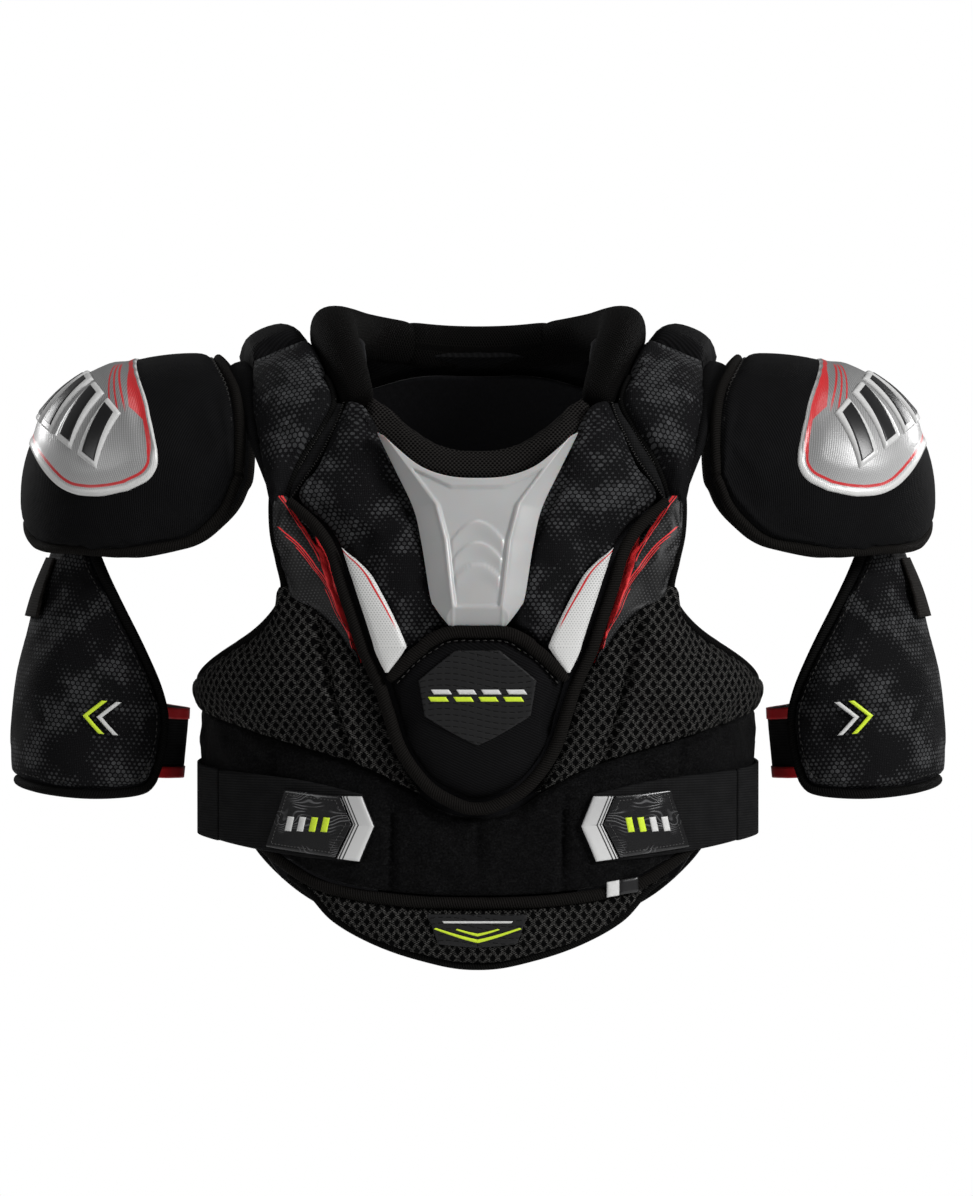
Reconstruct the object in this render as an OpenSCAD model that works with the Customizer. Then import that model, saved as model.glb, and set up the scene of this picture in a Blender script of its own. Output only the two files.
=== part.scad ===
// Hockey shoulder pads, worn shape, in millimetres.
// +Z is up and the chest faces -Y. Left is the wearer's left, at +X.
// The origin is between the shoulders, where the pads rest on the wearer.

/* [Torso] */
// Half the width of the chest below the arms
chest_half_width = 152; // [148:1:156]
// Depth from the shoulder line forward to the fullest part of the chest
front_depth = 118; // [112:1:122]
// Depth from the shoulder line back to the shoulder blades
back_depth = 104; // [100:1:108]
// Height of the shoulder slope beside the neck
neck_height = 40; // [38:1:42]
// Height of the fullest part of the chest
chest_height = -140; // [-144:1:-136]

/* [Pads] */
// Thickness of the foam in the chest shield
shield_foam = 14; // [12:0.5:15]
// Thickness of the foam in the side panels
side_foam = 12; // [10:0.5:13]
// Thickness of the landing band for the straps
band_foam = 7; // [6:0.5:8]
// Thickness of the sternum plate
plate_thick = 4; // [3:0.5:5]
// Thickness of the liners
liner_thick = 4; // [3:0.5:4.5]

/* [Shoulder caps] */
// Reach of a cap outward from its centre
cap_reach = 112; // [110:1:113]
// Half the depth of a cap, front to back
cap_half_depth = 86; // [84:1:90]
// Height of a cap's dome over its centre
cap_rise = 88; // [86:1:88]
// Thickness of a cap at its rim
cap_rim = 8; // [7:0.5:9]

/* [Arm guards] */
// Lean of the upper arm away from the body, in degrees
arm_lean = 5.5; // [5:0.1:6]
// Width of the webbing that hangs a guard
webbing_w = 25; // [20:1:28]
// Width of the elastic band behind the arm
arm_band_w = 40; // [36:1:42]

/* [Straps] */
// Width of the side straps
strap_w = 40; // [36:1:42]
// Thickness of the strap elastic
strap_thick = 2; // [1.5:0.25:2.5]

/* [Hidden] */

nominal_half_width = 152;   // the torso outlines below are drawn on this half width
armpit_flare = 35;          // how much wider the torso is at the shoulders
flare_height = 120;         // height over which it widens
blade_height = -60;         // height of the shoulder blades
roundness = 2.4;            // exponent of the superellipses: 2 is an ellipse
slope_start = 65;           // the shoulders slope down outside this distance
slope = 0.4;
waist_taper_front = 0.05;
waist_taper_back = 0.08;
gap = 0.5;                  // free space between layers
base_h = 4.5;               // height of the outer foam over the wearer

cap_centre = [150, 4, -62];
cap_lean = 41;              // lean of the dome's pole away from vertical
arm_top = [200, 4, -62];
webbing_turn = 74;          // where the webbing runs on the arm

// ---- interpolation ----
function smooth(t) = let (c = max(0, min(1, t))) c * c * (3 - 2 * c);
function mix(a, b, t) = a + (b - a) * t;
function spline_at(p0, p1, p2, p3, t) =
    0.5 * (2 * p1 + (p2 - p0) * t + (2 * p0 - 5 * p1 + 4 * p2 - p3) * t * t
        + (3 * p1 - p0 - 3 * p2 + p3) * t * t * t);
// A point on the smooth line through pts, at share t of its spans
function along(pts, t) =
    let (n = len(pts) - 1, i = min(floor(t * n), n - 1), f = t * n - i,
         a = pts[max(i - 1, 0)], d = pts[min(i + 2, n)])
    n == 1 ? mix(pts[0], pts[1], t) : spline_at(a, pts[i], pts[i + 1], d, f);
// A point inside four edges: low and high run with u, near and far run with v
function inside(low, high, near, far, u, v) =
    mix(along(low, u), along(high, u), v) + mix(along(near, v), along(far, v), u)
    - mix(mix(along(low, 0), along(low, 1), u), mix(along(high, 0), along(high, 1), u), v);
function flip(pts) = [for (i = [len(pts) - 1:-1:0]) pts[i]];
function both_sides(pts) =
    concat([for (i = [len(pts) - 1:-1:1]) [-pts[i].x, pts[i].y]], pts);

// ---- the wearer's torso ----
function half_width(z, w) = w + armpit_flare * smooth((z - chest_height) / flare_height);
function shoulder_top(x) = neck_height - slope * max(0, abs(x) - slope_start);
function narrowing(x, z) =
    pow(max(0, 1 - pow(min(1, abs(x) / half_width(z, chest_half_width)), roundness)), 1 / roundness);
function rounding(x, z, full_z) =
    z <= full_z ? 1 : sqrt(max(0, 1 - pow((z - full_z) / (shoulder_top(x) - full_z), 2)));
function chest_depth(z) = front_depth - waist_taper_front * max(0, chest_height - z);
function spine_depth(z) = back_depth - waist_taper_back * max(0, chest_height - z);
// turn is 0 at the front, 90 at the wearer's left side and 180 at the spine
function turn_of(x, z) =
    sign(x) * asin(pow(min(1, abs(x) / half_width(z, nominal_half_width)), roundness / 2));
function torso(p) =
    let (x = half_width(p.y, chest_half_width) * sign(sin(p.x)) * pow(abs(sin(p.x)), 2 / roundness),
         c = pow(abs(cos(p.x)), 2 / roundness))
    cos(p.x) >= 0
        ? [x, -chest_depth(p.y) * c * rounding(x, p.y, chest_height), p.y]
        : [x, spine_depth(p.y) * c * rounding(x, p.y, blade_height), p.y];
// tilt is 0 at the chest, 90 on top of the shoulder and 180 at the shoulder blade
function tilt_of(x, z) =
    asin(max(0, min(1, (z - chest_height) / (shoulder_top(x) - chest_height))));
function shoulder(p) =
    let (full = p.y <= 90 ? chest_height : blade_height,
         z = full + (shoulder_top(p.x) - full) * sin(p.y),
         depth = p.y <= 90 ? chest_depth(z) : spine_depth(z))
    [p.x, -depth * narrowing(p.x, z) * cos(p.y), z];

// ---- the caps and the arms ----
function cap_radius(d) =
    pow(pow(abs(d.x) / cap_reach, roundness) + pow(abs(d.y) / cap_half_depth, roundness)
        + pow(abs(d.z) / cap_rise, roundness), -1 / roundness);
// p.x is the angle from the pole outward and down, p.y the angle towards the back
function cap_dome(p) =
    let (far = norm(p), a = far < 0.001 ? [1, 0] : p / far,
         pole = [sin(cap_lean), 0, cos(cap_lean)], down = [cos(cap_lean), 0, -sin(cap_lean)],
         d = cos(far) * pole + sin(far) * (a.x * down + a.y * [0, 1, 0]))
    cap_centre + cap_radius(d) * d;
// p.x is the angle from the front of the arm outward, p.y the height along the arm
function arm_radius(h) = 35 + 11 * smooth((-15 - h) / 110);
function arm(p) =
    let (out = [cos(arm_lean), 0, sin(arm_lean)], up = [-sin(arm_lean), 0, cos(arm_lean)])
    arm_top + p.y * up + arm_radius(p.y) * (sin(p.x) * out - cos(p.x) * [0, 1, 0]);

// ---- solids laid over a surface ----
function normal(map, p, d = 0.4) =
    let (n = cross(map(p + [d, 0]) - map(p - [d, 0]), map(p + [0, d]) - map(p - [0, d])))
    n / norm(n);
function raised(map, p, h) = map(p) + h * normal(map, p);
function crown(u, v, power = 6) = (1 - pow(abs(2 * u - 1), power)) * (1 - pow(abs(2 * v - 1), power));

// A closed solid between two heights over a surface, inside four edges
module pad(map, low, high, near, far, from, to, nu, nv) {
    at = [for (j = [0:nv]) for (i = [0:nu]) inside(low, high, near, far, i / nu, j / nv)];
    uv = [for (j = [0:nv]) for (i = [0:nu]) [i / nu, j / nv]];
    n = (nu + 1) * (nv + 1);
    points = concat([for (k = [0:n - 1]) raised(map, at[k], to(uv[k].x, uv[k].y))],
                    [for (k = [0:n - 1]) raised(map, at[k], from(uv[k].x, uv[k].y))]);
    skin = [for (j = [0:nv - 1]) for (i = [0:nu - 1])
        let (a = j * (nu + 1) + i, b = a + 1, c = b + nu + 1, d = a + nu + 1)
        each [[a, c, b], [a, d, c]]];
    rim = concat([for (i = [0:nu]) i],
                 [for (j = [1:nv]) j * (nu + 1) + nu],
                 [for (i = [nu - 1:-1:0]) nv * (nu + 1) + i],
                 [for (j = [nv - 1:-1:1]) j * (nu + 1)]);
    walls = [for (k = [0:len(rim) - 1])
        let (a = rim[k], b = rim[(k + 1) % len(rim)])
        each [[a, b, b + n], [a, b + n, a + n]]];
    polyhedron(concat(points),
               concat(skin, [for (f = skin) [f[0] + n, f[2] + n, f[1] + n]], walls));
}

// A round tube along a list of points, one radius to a point, with closed ends
module tube(path, radii, sides = 10, squash = 1) {
    last = len(path) - 1;
    function ring(i) =
        let (d = path[min(i + 1, last)] - path[max(i - 1, 0)], t = d / norm(d),
             s = cross(t, [0, 0, 1]), side = s / norm(s), up = cross(side, t))
        [for (k = [0:sides - 1]) path[i] + radii[i] * (cos(360 * k / sides) * side
            + squash * sin(360 * k / sides) * up)];
    points = [for (i = [0:last]) each ring(i)];
    walls = [for (i = [0:last - 1]) for (k = [0:sides - 1])
        let (a = i * sides + k, b = i * sides + (k + 1) % sides)
        each [[a, b, b + sides], [a, b + sides, a + sides]]];
    polyhedron(points, concat([[for (k = [sides - 1:-1:0]) k]], walls,
                              [[for (k = [0:sides - 1]) last * sides + k]]));
}

module on_side(side) { mirror([side == "right" ? 1 : 0, 0, 0]) children(); }
// The same line moved sideways by d, to the left of its direction
function beside(pts, d) =
    let (last = len(pts) - 1)
    [for (i = [0:last])
        let (t = pts[min(i + 1, last)] - pts[max(i - 1, 0)]) pts[i] + d * [-t.y, t.x] / norm(t)];
function mirrored(pts) = [for (p = pts) [-p.x, p.y]];
function part_of(pts, first, last) = [for (i = [first:last]) pts[i]];
function on_front(pts) = [for (p = pts) [turn_of(p.x, p.y), p.y]];
function on_back(pts) = [for (p = pts) [180 - turn_of(p.x, p.y), p.y]];
function on_arch(pts) = [for (p = pts) [p.x, tilt_of(p.x, p.y)]];
function level(h) = function (u, v) h;
function domed(low, high, power = 6) = function (u, v) mix(low, high, crown(u, v, power));

// A pad across the middle of the chest, from its lower to its upper edge
module front_pad(low, high, side, from, to, nu, nv) {
    pad(function (p) torso(p), on_front(both_sides(low)), on_front(both_sides(high)),
        on_front(mirrored(side)), on_front(side), from, to, nu, nv);
}
module back_pad(low, high, side, from, to, nu, nv) {
    pad(function (p) torso(p), on_back(flip(both_sides(low))), on_back(flip(both_sides(high))),
        on_back(side), on_back(mirrored(side)), from, to, nu, nv);
}

// ---- outlines on the front, as [x, z] on the nominal torso ----
piping_line = [[0, -229], [12, -226], [27, -216], [40, -197], [47, -175], [52, -159],
               [61, -137], [70, -110], [76, -91], [85, -77], [99, -64]];
piping_r = 3;
inside_line = beside(piping_line, piping_r + 1.8);
outside_line = beside(piping_line, -piping_r - 1.8);
shield_low = [[0, -131], [17, -132], [32, -141], inside_line[5]];
neckline = [[0, -52], [29, -46.5], [53, -31], [69, -20]];
strip_low = [inside_line[10], [82, -43], [69, -20]];
band_top = [[0, -236], [22, -231], [37, -221], [60, -209], [88, -200], [128, -187], [148, -179]];
band_low = [[0, -278], [45, -276], [79, -270], [100, -261], [128, -254], [144, -251]];
panel_low = [[31, -221.5], [50, -211], [62, -205.5], [88, -197], [128, -184.5], [149, -176]];
armhole = [[103, -111], [110, -125], [124, -138], [142, -151], [150, -160]];

// ---- chest ----
module chest_liner() {
    side = [[115, -258], [146, -215], [147, -168], [118, -138], [99, -110], [96, -75],
            [90, -48], [56, -22]];
    color("dimgray") front_pad([[0, -272], [60, -270], side[0]], [[0, -38], [30, -34], side[7]], side,
        level(-gap - liner_thick), level(-gap), 14, 12);
}

module chest_shield() {
    side = concat(part_of(inside_line, 5, 10), [[82, -43], [69, -20]]);
    color("#222225") front_pad(shield_low, neckline, side,
        level(base_h), domed(base_h + shield_foam - 4, base_h + shield_foam), 14, 10);
}

module sternum_plate() {
    side = [[15, -130], [24, -116], [29, -88], [33, -72], [44, -51], [53, -32]];
    under = base_h + shield_foam + 1;
    ridge = function (u, v) under + plate_thick + 3 * smooth(1.6 - 3.2 * abs(2 * u - 1)) * smooth(5 * v);
    color("silver") front_pad([[0, -130], side[0]], [[0, -51], [28, -46], side[5]], side,
        level(under), ridge, 12, 8);
}

module belly_pad() {
    color("#1b1b1d") front_pad(part_of(inside_line, 0, 3),
        concat([for (i = [0:2]) shield_low[i] - [0, 2.5]], [inside_line[5] - [1, 3]]),
        [inside_line[3], inside_line[4], inside_line[5] - [1, 3]],
        level(base_h), domed(base_h + 8, base_h + 18, 4), 12, 8);
}

module belly_patch() {
    side = [[28, -178], [29, -160], [11, -143]];
    top = base_h + 18 + gap;
    color("#2b2b2e") front_pad([[0, -194], side[0]], [[0, -143], side[2]], side,
        level(top), level(top + 1.5), 6, 5);
}

// The rolled edge round the shield
module shield_piping() {
    line = on_front(both_sides(piping_line));
    steps = 40;
    path = [for (i = [0:steps]) raised(function (p) torso(p), along(line, i / steps), base_h + 10)];
    color("#151515") tube(path, [for (i = [0:steps]) piping_r], 8);
}

module accent_tab() {
    near = [[46, -154], [38, -142], [38, -137], [50, -112], [57, -101], [69, -90]];
    far = [[47.5, -154], [53, -141], [60, -119], [65, -104], [70, -89]];
    color("silver") pad(function (p) torso(p), on_front([near[0], far[0]]), on_front([near[5], far[4]]),
        on_front(near), on_front(far),
        level(base_h + shield_foam + 0.6), level(base_h + shield_foam + 2), 3, 8);
}

module flash_panel() {
    near = concat([[60, -151]], part_of(outside_line, 6, 10));
    far = [[101, -109], [104, -93], [107, -79], [107.5, -66.5]];
    color("firebrick") pad(function (p) torso(p),
        on_front([near[0], [79, -124], far[0]]), on_front([near[5], far[3]]), on_front(near), on_front(far),
        level(base_h), domed(base_h + side_foam - 3, base_h + side_foam), 6, 8);
}

module side_panel() {
    near = concat([panel_low[0]], part_of(outside_line, 3, 5), [[60, -154]]);
    color("#3a3a3c") pad(function (p) torso(p),
        on_front(panel_low), on_front(concat([near[4], [79, -127]], armhole)),
        on_front(near), on_front([panel_low[5], [150.5, -168], armhole[4]]),
        level(base_h), domed(base_h + side_foam - 5, base_h + side_foam), 14, 8);
}

// The wide strip of loop fabric that the strap ends stick to
module landing_band() {
    color("#101010") front_pad(band_low, band_top, [band_low[5], [149, -215], band_top[6]],
        level(base_h), domed(base_h + band_foam - 3, base_h + band_foam), 20, 5);
}

hem_low = [[0, -286], [45, -284], [81, -277.5], [103, -268], [112, -263]];

module band_hem() {
    high = [[0, -279.5], [45, -277.5], [81, -271], [103, -261.5], [112, -259.5]];
    color("#2e2c2a") front_pad(hem_low, high, [hem_low[4], high[4]], level(base_h), level(base_h + 6), 20, 1);
}

// ---- neck ----
module neck_band() {
    side = [[53, -29.5], [57, -14]];
    color("#1d1c1b") front_pad([[0, -50.5], [29, -45], side[0]], [[0, -34], [32, -28], side[1]], side,
        level(3), domed(6, 13, 4), 12, 3);
}

collar_path = [[66, -84, -6], [72, -66, 11], [79, -44, 27], [83, -16, 38], [80, 14, 41], [66, 40, 39],
               [42, 57, 36]];
collar_radii = [8, 10, 12, 13, 13, 12.5, 12];

module collar() {
    steps = 14;
    color("#141414") tube([for (i = [0:steps]) along(collar_path, i / steps)],
        [for (i = [0:steps]) along(collar_radii, i / steps)], 10);
}

module collar_back() {
    line = [[-40.5, 58, 35.8], [-22, 66, 34.5], [0, 69, 34], [22, 66, 34.5], [40.5, 58, 35.8]];
    steps = 8;
    color("#141414") tube([for (i = [0:steps]) along(line, i / steps)], [for (i = [0:steps]) 12], 10);
}

// ---- shoulder arches ----
arch_outer = [[110, -59], [118, -34], [123, -11]];

module arch_base() {
    near = concat(on_arch([[106, -59], [98, -42], [94, -20], [96, 5]]), [[98, 90], [96, 120], [90, 146]]);
    far = concat(on_arch(arch_outer), [[126, 90], [122, 120], [112, 146]]);
    color("#121212") pad(function (p) shoulder(p), [near[0], far[0]], [near[6], far[5]], near, far,
        level(0.5), domed(5, 8), 4, 14);
}

module arch_panel() {
    near = on_arch([[106, -58], [97, -42], [86, -25], [79, -10], [84, 5], [92, 21]]);
    far = on_arch([[110, -58], [118, -33], [123, -11], [123, 8]]);
    color("#242427") pad(function (p) shoulder(p), [near[0], far[0]], [near[5], far[3]], near, far,
        level(9), domed(13, 20), 5, 8);
}

// The domed pad on top of the shoulder
module arch_pad() {
    near = [[98, 80], [98, 97], [100, 114]];
    far = [[124, 77], [132, 95], [124, 114]];
    color("#0f0f0f") pad(function (p) shoulder(p), [near[0], far[0]], [near[2], far[2]], near, far,
        level(9), domed(13, 24, 4), 6, 6);
}

module arch_strip() {
    low = [[100, -61.5], [86, -40], [73, -18]];
    high = [[104, -57.5], [95, -42], [85, -25], [78, -11]];
    color("#1a1a1a") pad(function (p) torso(p), on_front([low[0], high[0]]), on_front([low[2], high[3]]),
        on_front(low), on_front(high), level(1), level(7.5), 2, 6);
}

// The short padded strip that joins an arch to its cap
module shoulder_bridge() {
    near = concat(on_arch([[118, -38], [126, -14]]), [[130.5, 90], [126, 120]]);
    far = concat(on_arch([[125, -41], [132.5, -14]]), [[146, 90], [136, 120]]);
    color("#101010") pad(function (p) shoulder(p), [near[0], far[0]], [near[3], far[3]], near, far,
        level(0.5), function (u, v) 4 + (5 + 3 * u) * crown(u, v, 4), 3, 8);
}

// ---- back ----
back_top = [[0, -8], [34, -8], [70, -6], [100, -22]];

module back_liner() {
    side = [[118, -280], [142, -230], [146, -180], [122, -140], [106, -108], [100, -60], [86, 4]];
    color("dimgray") back_pad([[0, -296], [60, -294], side[0]], [[0, 14], [40, 14], side[6]], side,
        level(-gap - liner_thick), level(-gap), 14, 12);
}

// The pad between the collar and the back
module back_yoke() {
    side = [[86, -6], [80, 8], [66, 16]];
    color("#161616") back_pad([[0, -6], [34, -6], side[0]], [[0, 16], [34, 17], side[2]], side,
        level(base_h - 3), domed(6, 12, 4), 10, 4);
}

module back_panel() {
    near = [[136, -178], [114, -132], [104, -100], [101, -60], [98, -24]];
    far = [[30, -200], [30, -140], [30, -70], [34, -12]];
    color("#242427") pad(function (p) torso(p), on_back([near[0], [84, -195], far[0]]),
        on_back([near[4], [70, -9], far[3]]), on_back(near), on_back(far),
        level(base_h), domed(base_h + 8, base_h + 14), 8, 12);
}

module spine_plate() {
    side = [[18, -200], [26, -140], [27, -70], [24, -13]];
    ribs = 7;
    ribbed = function (u, v) base_h + 12 + 4 * (v * ribs - floor(v * ribs)) * (v < 1 ? 1 : 0);
    color("#55565a") back_pad([[0, -204], side[0]], [[0, -11], side[3]], side,
        level(base_h), ribbed, 6, 14);
}

module back_lower_pad() {
    side = [[104, -286], [130, -256], [142, -220], [138, -183]];
    color("#1c1c1e") back_pad([[0, -312], [60, -308], side[0]],
        [[0, -209], [30, -206], [84, -201], side[3]], side,
        level(base_h), domed(base_h + 5, base_h + 12), 14, 6);
}

// ---- side straps ----
strap_h = base_h + band_foam + gap;
strap_split = [134, 136];   // where the peeling end meets the elastic, on the outlines
strap_low = -250;
strap_high = strap_low + strap_w;
strap_rise = 12;            // how far the elastic climbs on its way to the back
back_turn = 121;            // where the elastic is sewn in, under the lower back pad
tucked_h = 1.0;             // how far off the wearer it lies there

// The elastic comes off the landing band and runs back round the ribs
module side_elastic() {
    start = turn_of(strap_split[1], -228);
    from = function (u, v) mix(strap_h, tucked_h, smooth((u - 0.15) / 0.4));
    color("#111111") pad(function (p) torso(p),
        [[start, strap_low], [back_turn, strap_low + strap_rise]],
        [[start, strap_high], [back_turn, strap_high + strap_rise]],
        [[start, strap_low], [start, strap_high]],
        [[back_turn, strap_low + strap_rise], [back_turn, strap_high + strap_rise]],
        from, function (u, v) from(u, v) + strap_thick, 10, 2);
}

module strap_end() {
    near = [[61, -260], [56, -242], [64, -222]];
    far = [[strap_split[0], strap_low], [strap_split[0], strap_high]];
    color("#171717") pad(function (p) torso(p),
        on_front([near[0], [90, -257], far[0]]), on_front([near[2], [95, -213], far[1]]),
        on_front(near), on_front(far), level(strap_h), level(strap_h + strap_thick), 10, 3);
}

module strap_label() {
    near = [[66, -257], [57, -240], [61, -224]];
    far = [[110, -250], [99, -219]];
    low = strap_h + strap_thick + 0.8;
    color("silver") pad(function (p) torso(p), on_front([near[0], far[0]]), on_front([near[2], far[1]]),
        on_front(near), on_front(far), level(low), level(low + 2), 5, 3);
}

// ---- extension pad ----
module extension_pad() {
    high = [for (p = hem_low) p - [0, 2]];
    side = [[78, -291], [90, -277], high[3]];
    color("#2a2a2c") front_pad([[0, -317], [31, -312], [57, -303], side[0]],
        [for (i = [0:3]) high[i]], side, level(4.6), domed(7, 14, 4), 14, 4);
}

// The hook tab that holds the extension pad behind the landing band
module extension_tongue() {
    side = [[50, -300], [56, -270], [54, -236]];
    color("#19191b") front_pad([[0, -306], side[0]], [[0, -236], side[2]], side,
        level(0.6), level(2.6), 8, 5);
}

// ---- shoulder caps ----
// Four edges of a cap on its dome, in degrees from the pole
cap_inner = [[-23, -86], [-33, -72], [-40, -53], [-41, -30], [-41, 0], [-41, 30], [-39, 52], [-32, 70],
             [-22, 83]];
cap_outer = [[52, -56], [58, -27], [53, 0], [58, 27], [52, 55]];
cap_front = [cap_inner[0], [-3, -95], [24, -92], [44, -73], cap_outer[0]];
cap_back = [cap_inner[8], [-3, 91], [24, 88], [44, 71], cap_outer[4]];

module cap_shell() {
    color("#131313") pad(function (p) cap_dome(p), cap_front, cap_back, cap_inner, cap_outer,
        level(-cap_rim), level(0), 12, 14);
}

module cap_insert() {
    near = [[-1, -59.5], [-9, -38], [-13, 0], [-9, 38], [-1, 59.5]];
    far = [[23, -63.5], [32, -54], [36, -40], [31, -15], [31, 15], [36, 40], [32, 54], [23, 63.5]];
    color("silver") pad(function (p) cap_dome(p), [near[0], [4, -66], [12, -67.5], far[0]],
        [near[4], [4, 66], [12, 67.5], far[7]], near, far, level(2), domed(3, 5.5, 4), 8, 12);
}

module cap_liner() {
    near = [[-34, -56], [-36, -28], [-36, 0], [-36, 28], [-34, 52]];
    far = [[38, -66], [46, -40], [44, 0], [46, 40], [38, 62]];
    color("#3a3a3a") pad(function (p) cap_dome(p), [near[0], [0, -80], far[0]], [near[4], [0, 76], far[4]],
        near, far, level(-cap_rim - 5), level(-cap_rim - 2), 8, 8);
}

// ---- arm guards ----
guard_front = [[30, -22], [5, -50], [-18, -78], [-38, -110], [-41, -134], [-36, -156]];
guard_rear = [[118, -22], [134, -60], [148, -98], [152, -130], [147, -156]];

module guard_base() {
    color("#101010") pad(function (p) arm(p),
        [[-36, -156], [20, -164], [90, -160], [147, -156]], [[30, -22], [74, -18], [118, -22]],
        flip(guard_front), flip(guard_rear), level(0.5), level(4), 12, 8);
}

module guard_shell() {
    color("#242427") pad(function (p) arm(p),
        [[-31, -152], [20, -160], [90, -156], [142, -152]], [[34, -29], [74, -28], [112, -30]],
        flip([[34, -29], [10, -53], [-13, -80], [-33, -111], [-36, -134], [-31, -152]]),
        flip([[112, -30], [129, -62], [143, -98], [147, -130], [142, -152]]),
        level(4.8), function (u, v) mix(6.5, 11, crown(u, v) * smooth(1.5 * (1 - v))), 12, 8);
}

// The webbing that hangs a guard under its cap, sewn to the guard's outer side
module arm_webbing() {
    half = webbing_w / 2 / 50 * 57.3;
    color("#0d0d0d") pad(function (p) arm(p),
        [[webbing_turn - half, -26], [webbing_turn + half, -26]],
        [[webbing_turn - half, 18], [webbing_turn + half, 18]],
        [[webbing_turn - half, -26], [webbing_turn - half, 18]],
        [[webbing_turn + half, -26], [webbing_turn + half, 18]],
        level(7), level(8.5), 2, 4);
}

// The free end of the webbing, which hangs down outside the guard
module webbing_tail() {
    half = webbing_w / 2 / 50 * 57.3;
    reach = function (u, v) mix(14, 9.5, v);
    color("#1c1a18") pad(function (p) arm(p),
        [[webbing_turn - 4 - half, -70], [webbing_turn - 4 + half, -70]],
        [[webbing_turn - half, -34], [webbing_turn + half, -34]],
        [[webbing_turn - 4 - half, -70], [webbing_turn - half, -34]],
        [[webbing_turn - 4 + half, -70], [webbing_turn + half, -34]],
        reach, function (u, v) reach(u, v) + 1.5, 2, 4);
}

arm_band_low = -152;

module arm_band() {
    low = arm_band_low;
    high = low + arm_band_w;
    color("#101010") pad(function (p) arm(p),
        [[-150, low], [-100, low], [-46, low]], [[-150, high], [-100, high], [-46, high]],
        [[-150, low], [-150, high]], [[-46, low], [-46, high]], level(-4.5), level(-2.5), 8, 2);
}

module arm_band_tab() {
    low = arm_band_low;
    high = low + arm_band_w;
    color("#101010") pad(function (p) arm(p),
        [[156, low], [204, low]], [[156, high], [204, high]],
        [[156, low], [152, (low + high) / 2], [156, high]], [[204, low], [204, high]],
        level(5), level(7), 5, 2);
}

chest_liner();
chest_shield();
sternum_plate();
belly_pad();
belly_patch();
shield_piping();
landing_band();
band_hem();
neck_band();
collar_back();
back_liner();
back_yoke();
spine_plate();
back_lower_pad();
extension_pad();
extension_tongue();
for (side = ["left", "right"]) {
    on_side(side) accent_tab();
    on_side(side) flash_panel();
    on_side(side) side_panel();
    on_side(side) collar();
    on_side(side) arch_base();
    on_side(side) arch_panel();
    on_side(side) arch_pad();
    on_side(side) arch_strip();
    on_side(side) shoulder_bridge();
    on_side(side) back_panel();
    on_side(side) side_elastic();
    on_side(side) cap_shell();
    on_side(side) cap_insert();
    on_side(side) cap_liner();
    on_side(side) guard_shell();
    on_side(side) guard_base();
    on_side(side) arm_webbing();
    on_side(side) webbing_tail();
    on_side(side) arm_band();
    on_side(side) arm_band_tab();
    on_side(side) strap_end();
    on_side(side) strap_label();
}
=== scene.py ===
"""Hockey shoulder pads: the looks of every piece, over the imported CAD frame.

Shapes are worked out in millimetres on the same four surfaces as the CAD model (the torso, the
shoulders, the dome of a cap and the upper arm) and turned into metres when a mesh is made.
Left is the wearer's left, at +X, and every right piece is the mirror image of its left one.
"""

import bpy
import numpy as np
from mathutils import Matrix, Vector


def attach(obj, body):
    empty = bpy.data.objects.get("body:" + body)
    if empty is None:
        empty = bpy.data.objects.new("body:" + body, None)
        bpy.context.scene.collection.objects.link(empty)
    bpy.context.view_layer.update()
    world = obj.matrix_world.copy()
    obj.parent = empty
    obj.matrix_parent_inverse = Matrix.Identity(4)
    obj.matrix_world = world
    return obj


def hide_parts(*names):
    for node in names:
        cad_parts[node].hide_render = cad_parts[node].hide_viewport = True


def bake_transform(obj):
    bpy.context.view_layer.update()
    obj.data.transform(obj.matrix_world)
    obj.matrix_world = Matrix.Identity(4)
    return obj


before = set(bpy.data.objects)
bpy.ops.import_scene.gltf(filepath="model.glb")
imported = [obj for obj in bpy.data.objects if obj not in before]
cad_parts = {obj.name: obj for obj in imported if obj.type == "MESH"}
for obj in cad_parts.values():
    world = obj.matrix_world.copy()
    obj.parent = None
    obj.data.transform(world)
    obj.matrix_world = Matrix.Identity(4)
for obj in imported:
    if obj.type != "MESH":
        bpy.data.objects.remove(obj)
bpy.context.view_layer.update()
MM = 0.001

# ---- camera ----

CAMERA_DISTANCE = 2.6
CAMERA_HEIGHT = -0.114
CAMERA_SIDE = 0.0049
FRAME_HEIGHT = 0.691  # what the picture takes in, at the shoulder line
SENSOR = 36.0

camera_data = bpy.data.cameras.new("camera")
camera_data.sensor_fit = "VERTICAL"
camera_data.sensor_height = SENSOR
camera_data.lens = SENSOR * CAMERA_DISTANCE / FRAME_HEIGHT
camera_data.clip_end = 50
camera = bpy.data.objects.new("camera", camera_data)
camera.location = (CAMERA_SIDE, -CAMERA_DISTANCE, CAMERA_HEIGHT)
camera.rotation_euler = (np.pi / 2, 0, 0)
bpy.context.collection.objects.link(camera)
bpy.context.scene.camera = camera
bpy.context.scene.view_settings.view_transform = "Standard"

# ---- curves and patches in a surface's own two coordinates ----


def smooth(t):
    t = np.clip(t, 0, 1)
    return t * t * (3 - 2 * t)


def mix(a, b, t):
    return a + (b - a) * t


def along(points, t):
    """Points on the smooth line through points, at the shares t of its spans."""
    p = np.asarray(points, float)
    t = np.asarray(t, float)
    spans = len(p) - 1
    if spans == 1:
        return p[0] + (p[1] - p[0]) * t[..., None]
    i = np.minimum((t * spans).astype(int), spans - 1)
    f = (t * spans - i)[..., None]
    a, b, c, d = p[np.maximum(i - 1, 0)], p[i], p[i + 1], p[np.minimum(i + 2, spans)]
    return 0.5 * (2 * b + (c - a) * f + (2 * a - 5 * b + 4 * c - d) * f**2 + (3 * b - a - 3 * c + d) * f**3)


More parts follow.
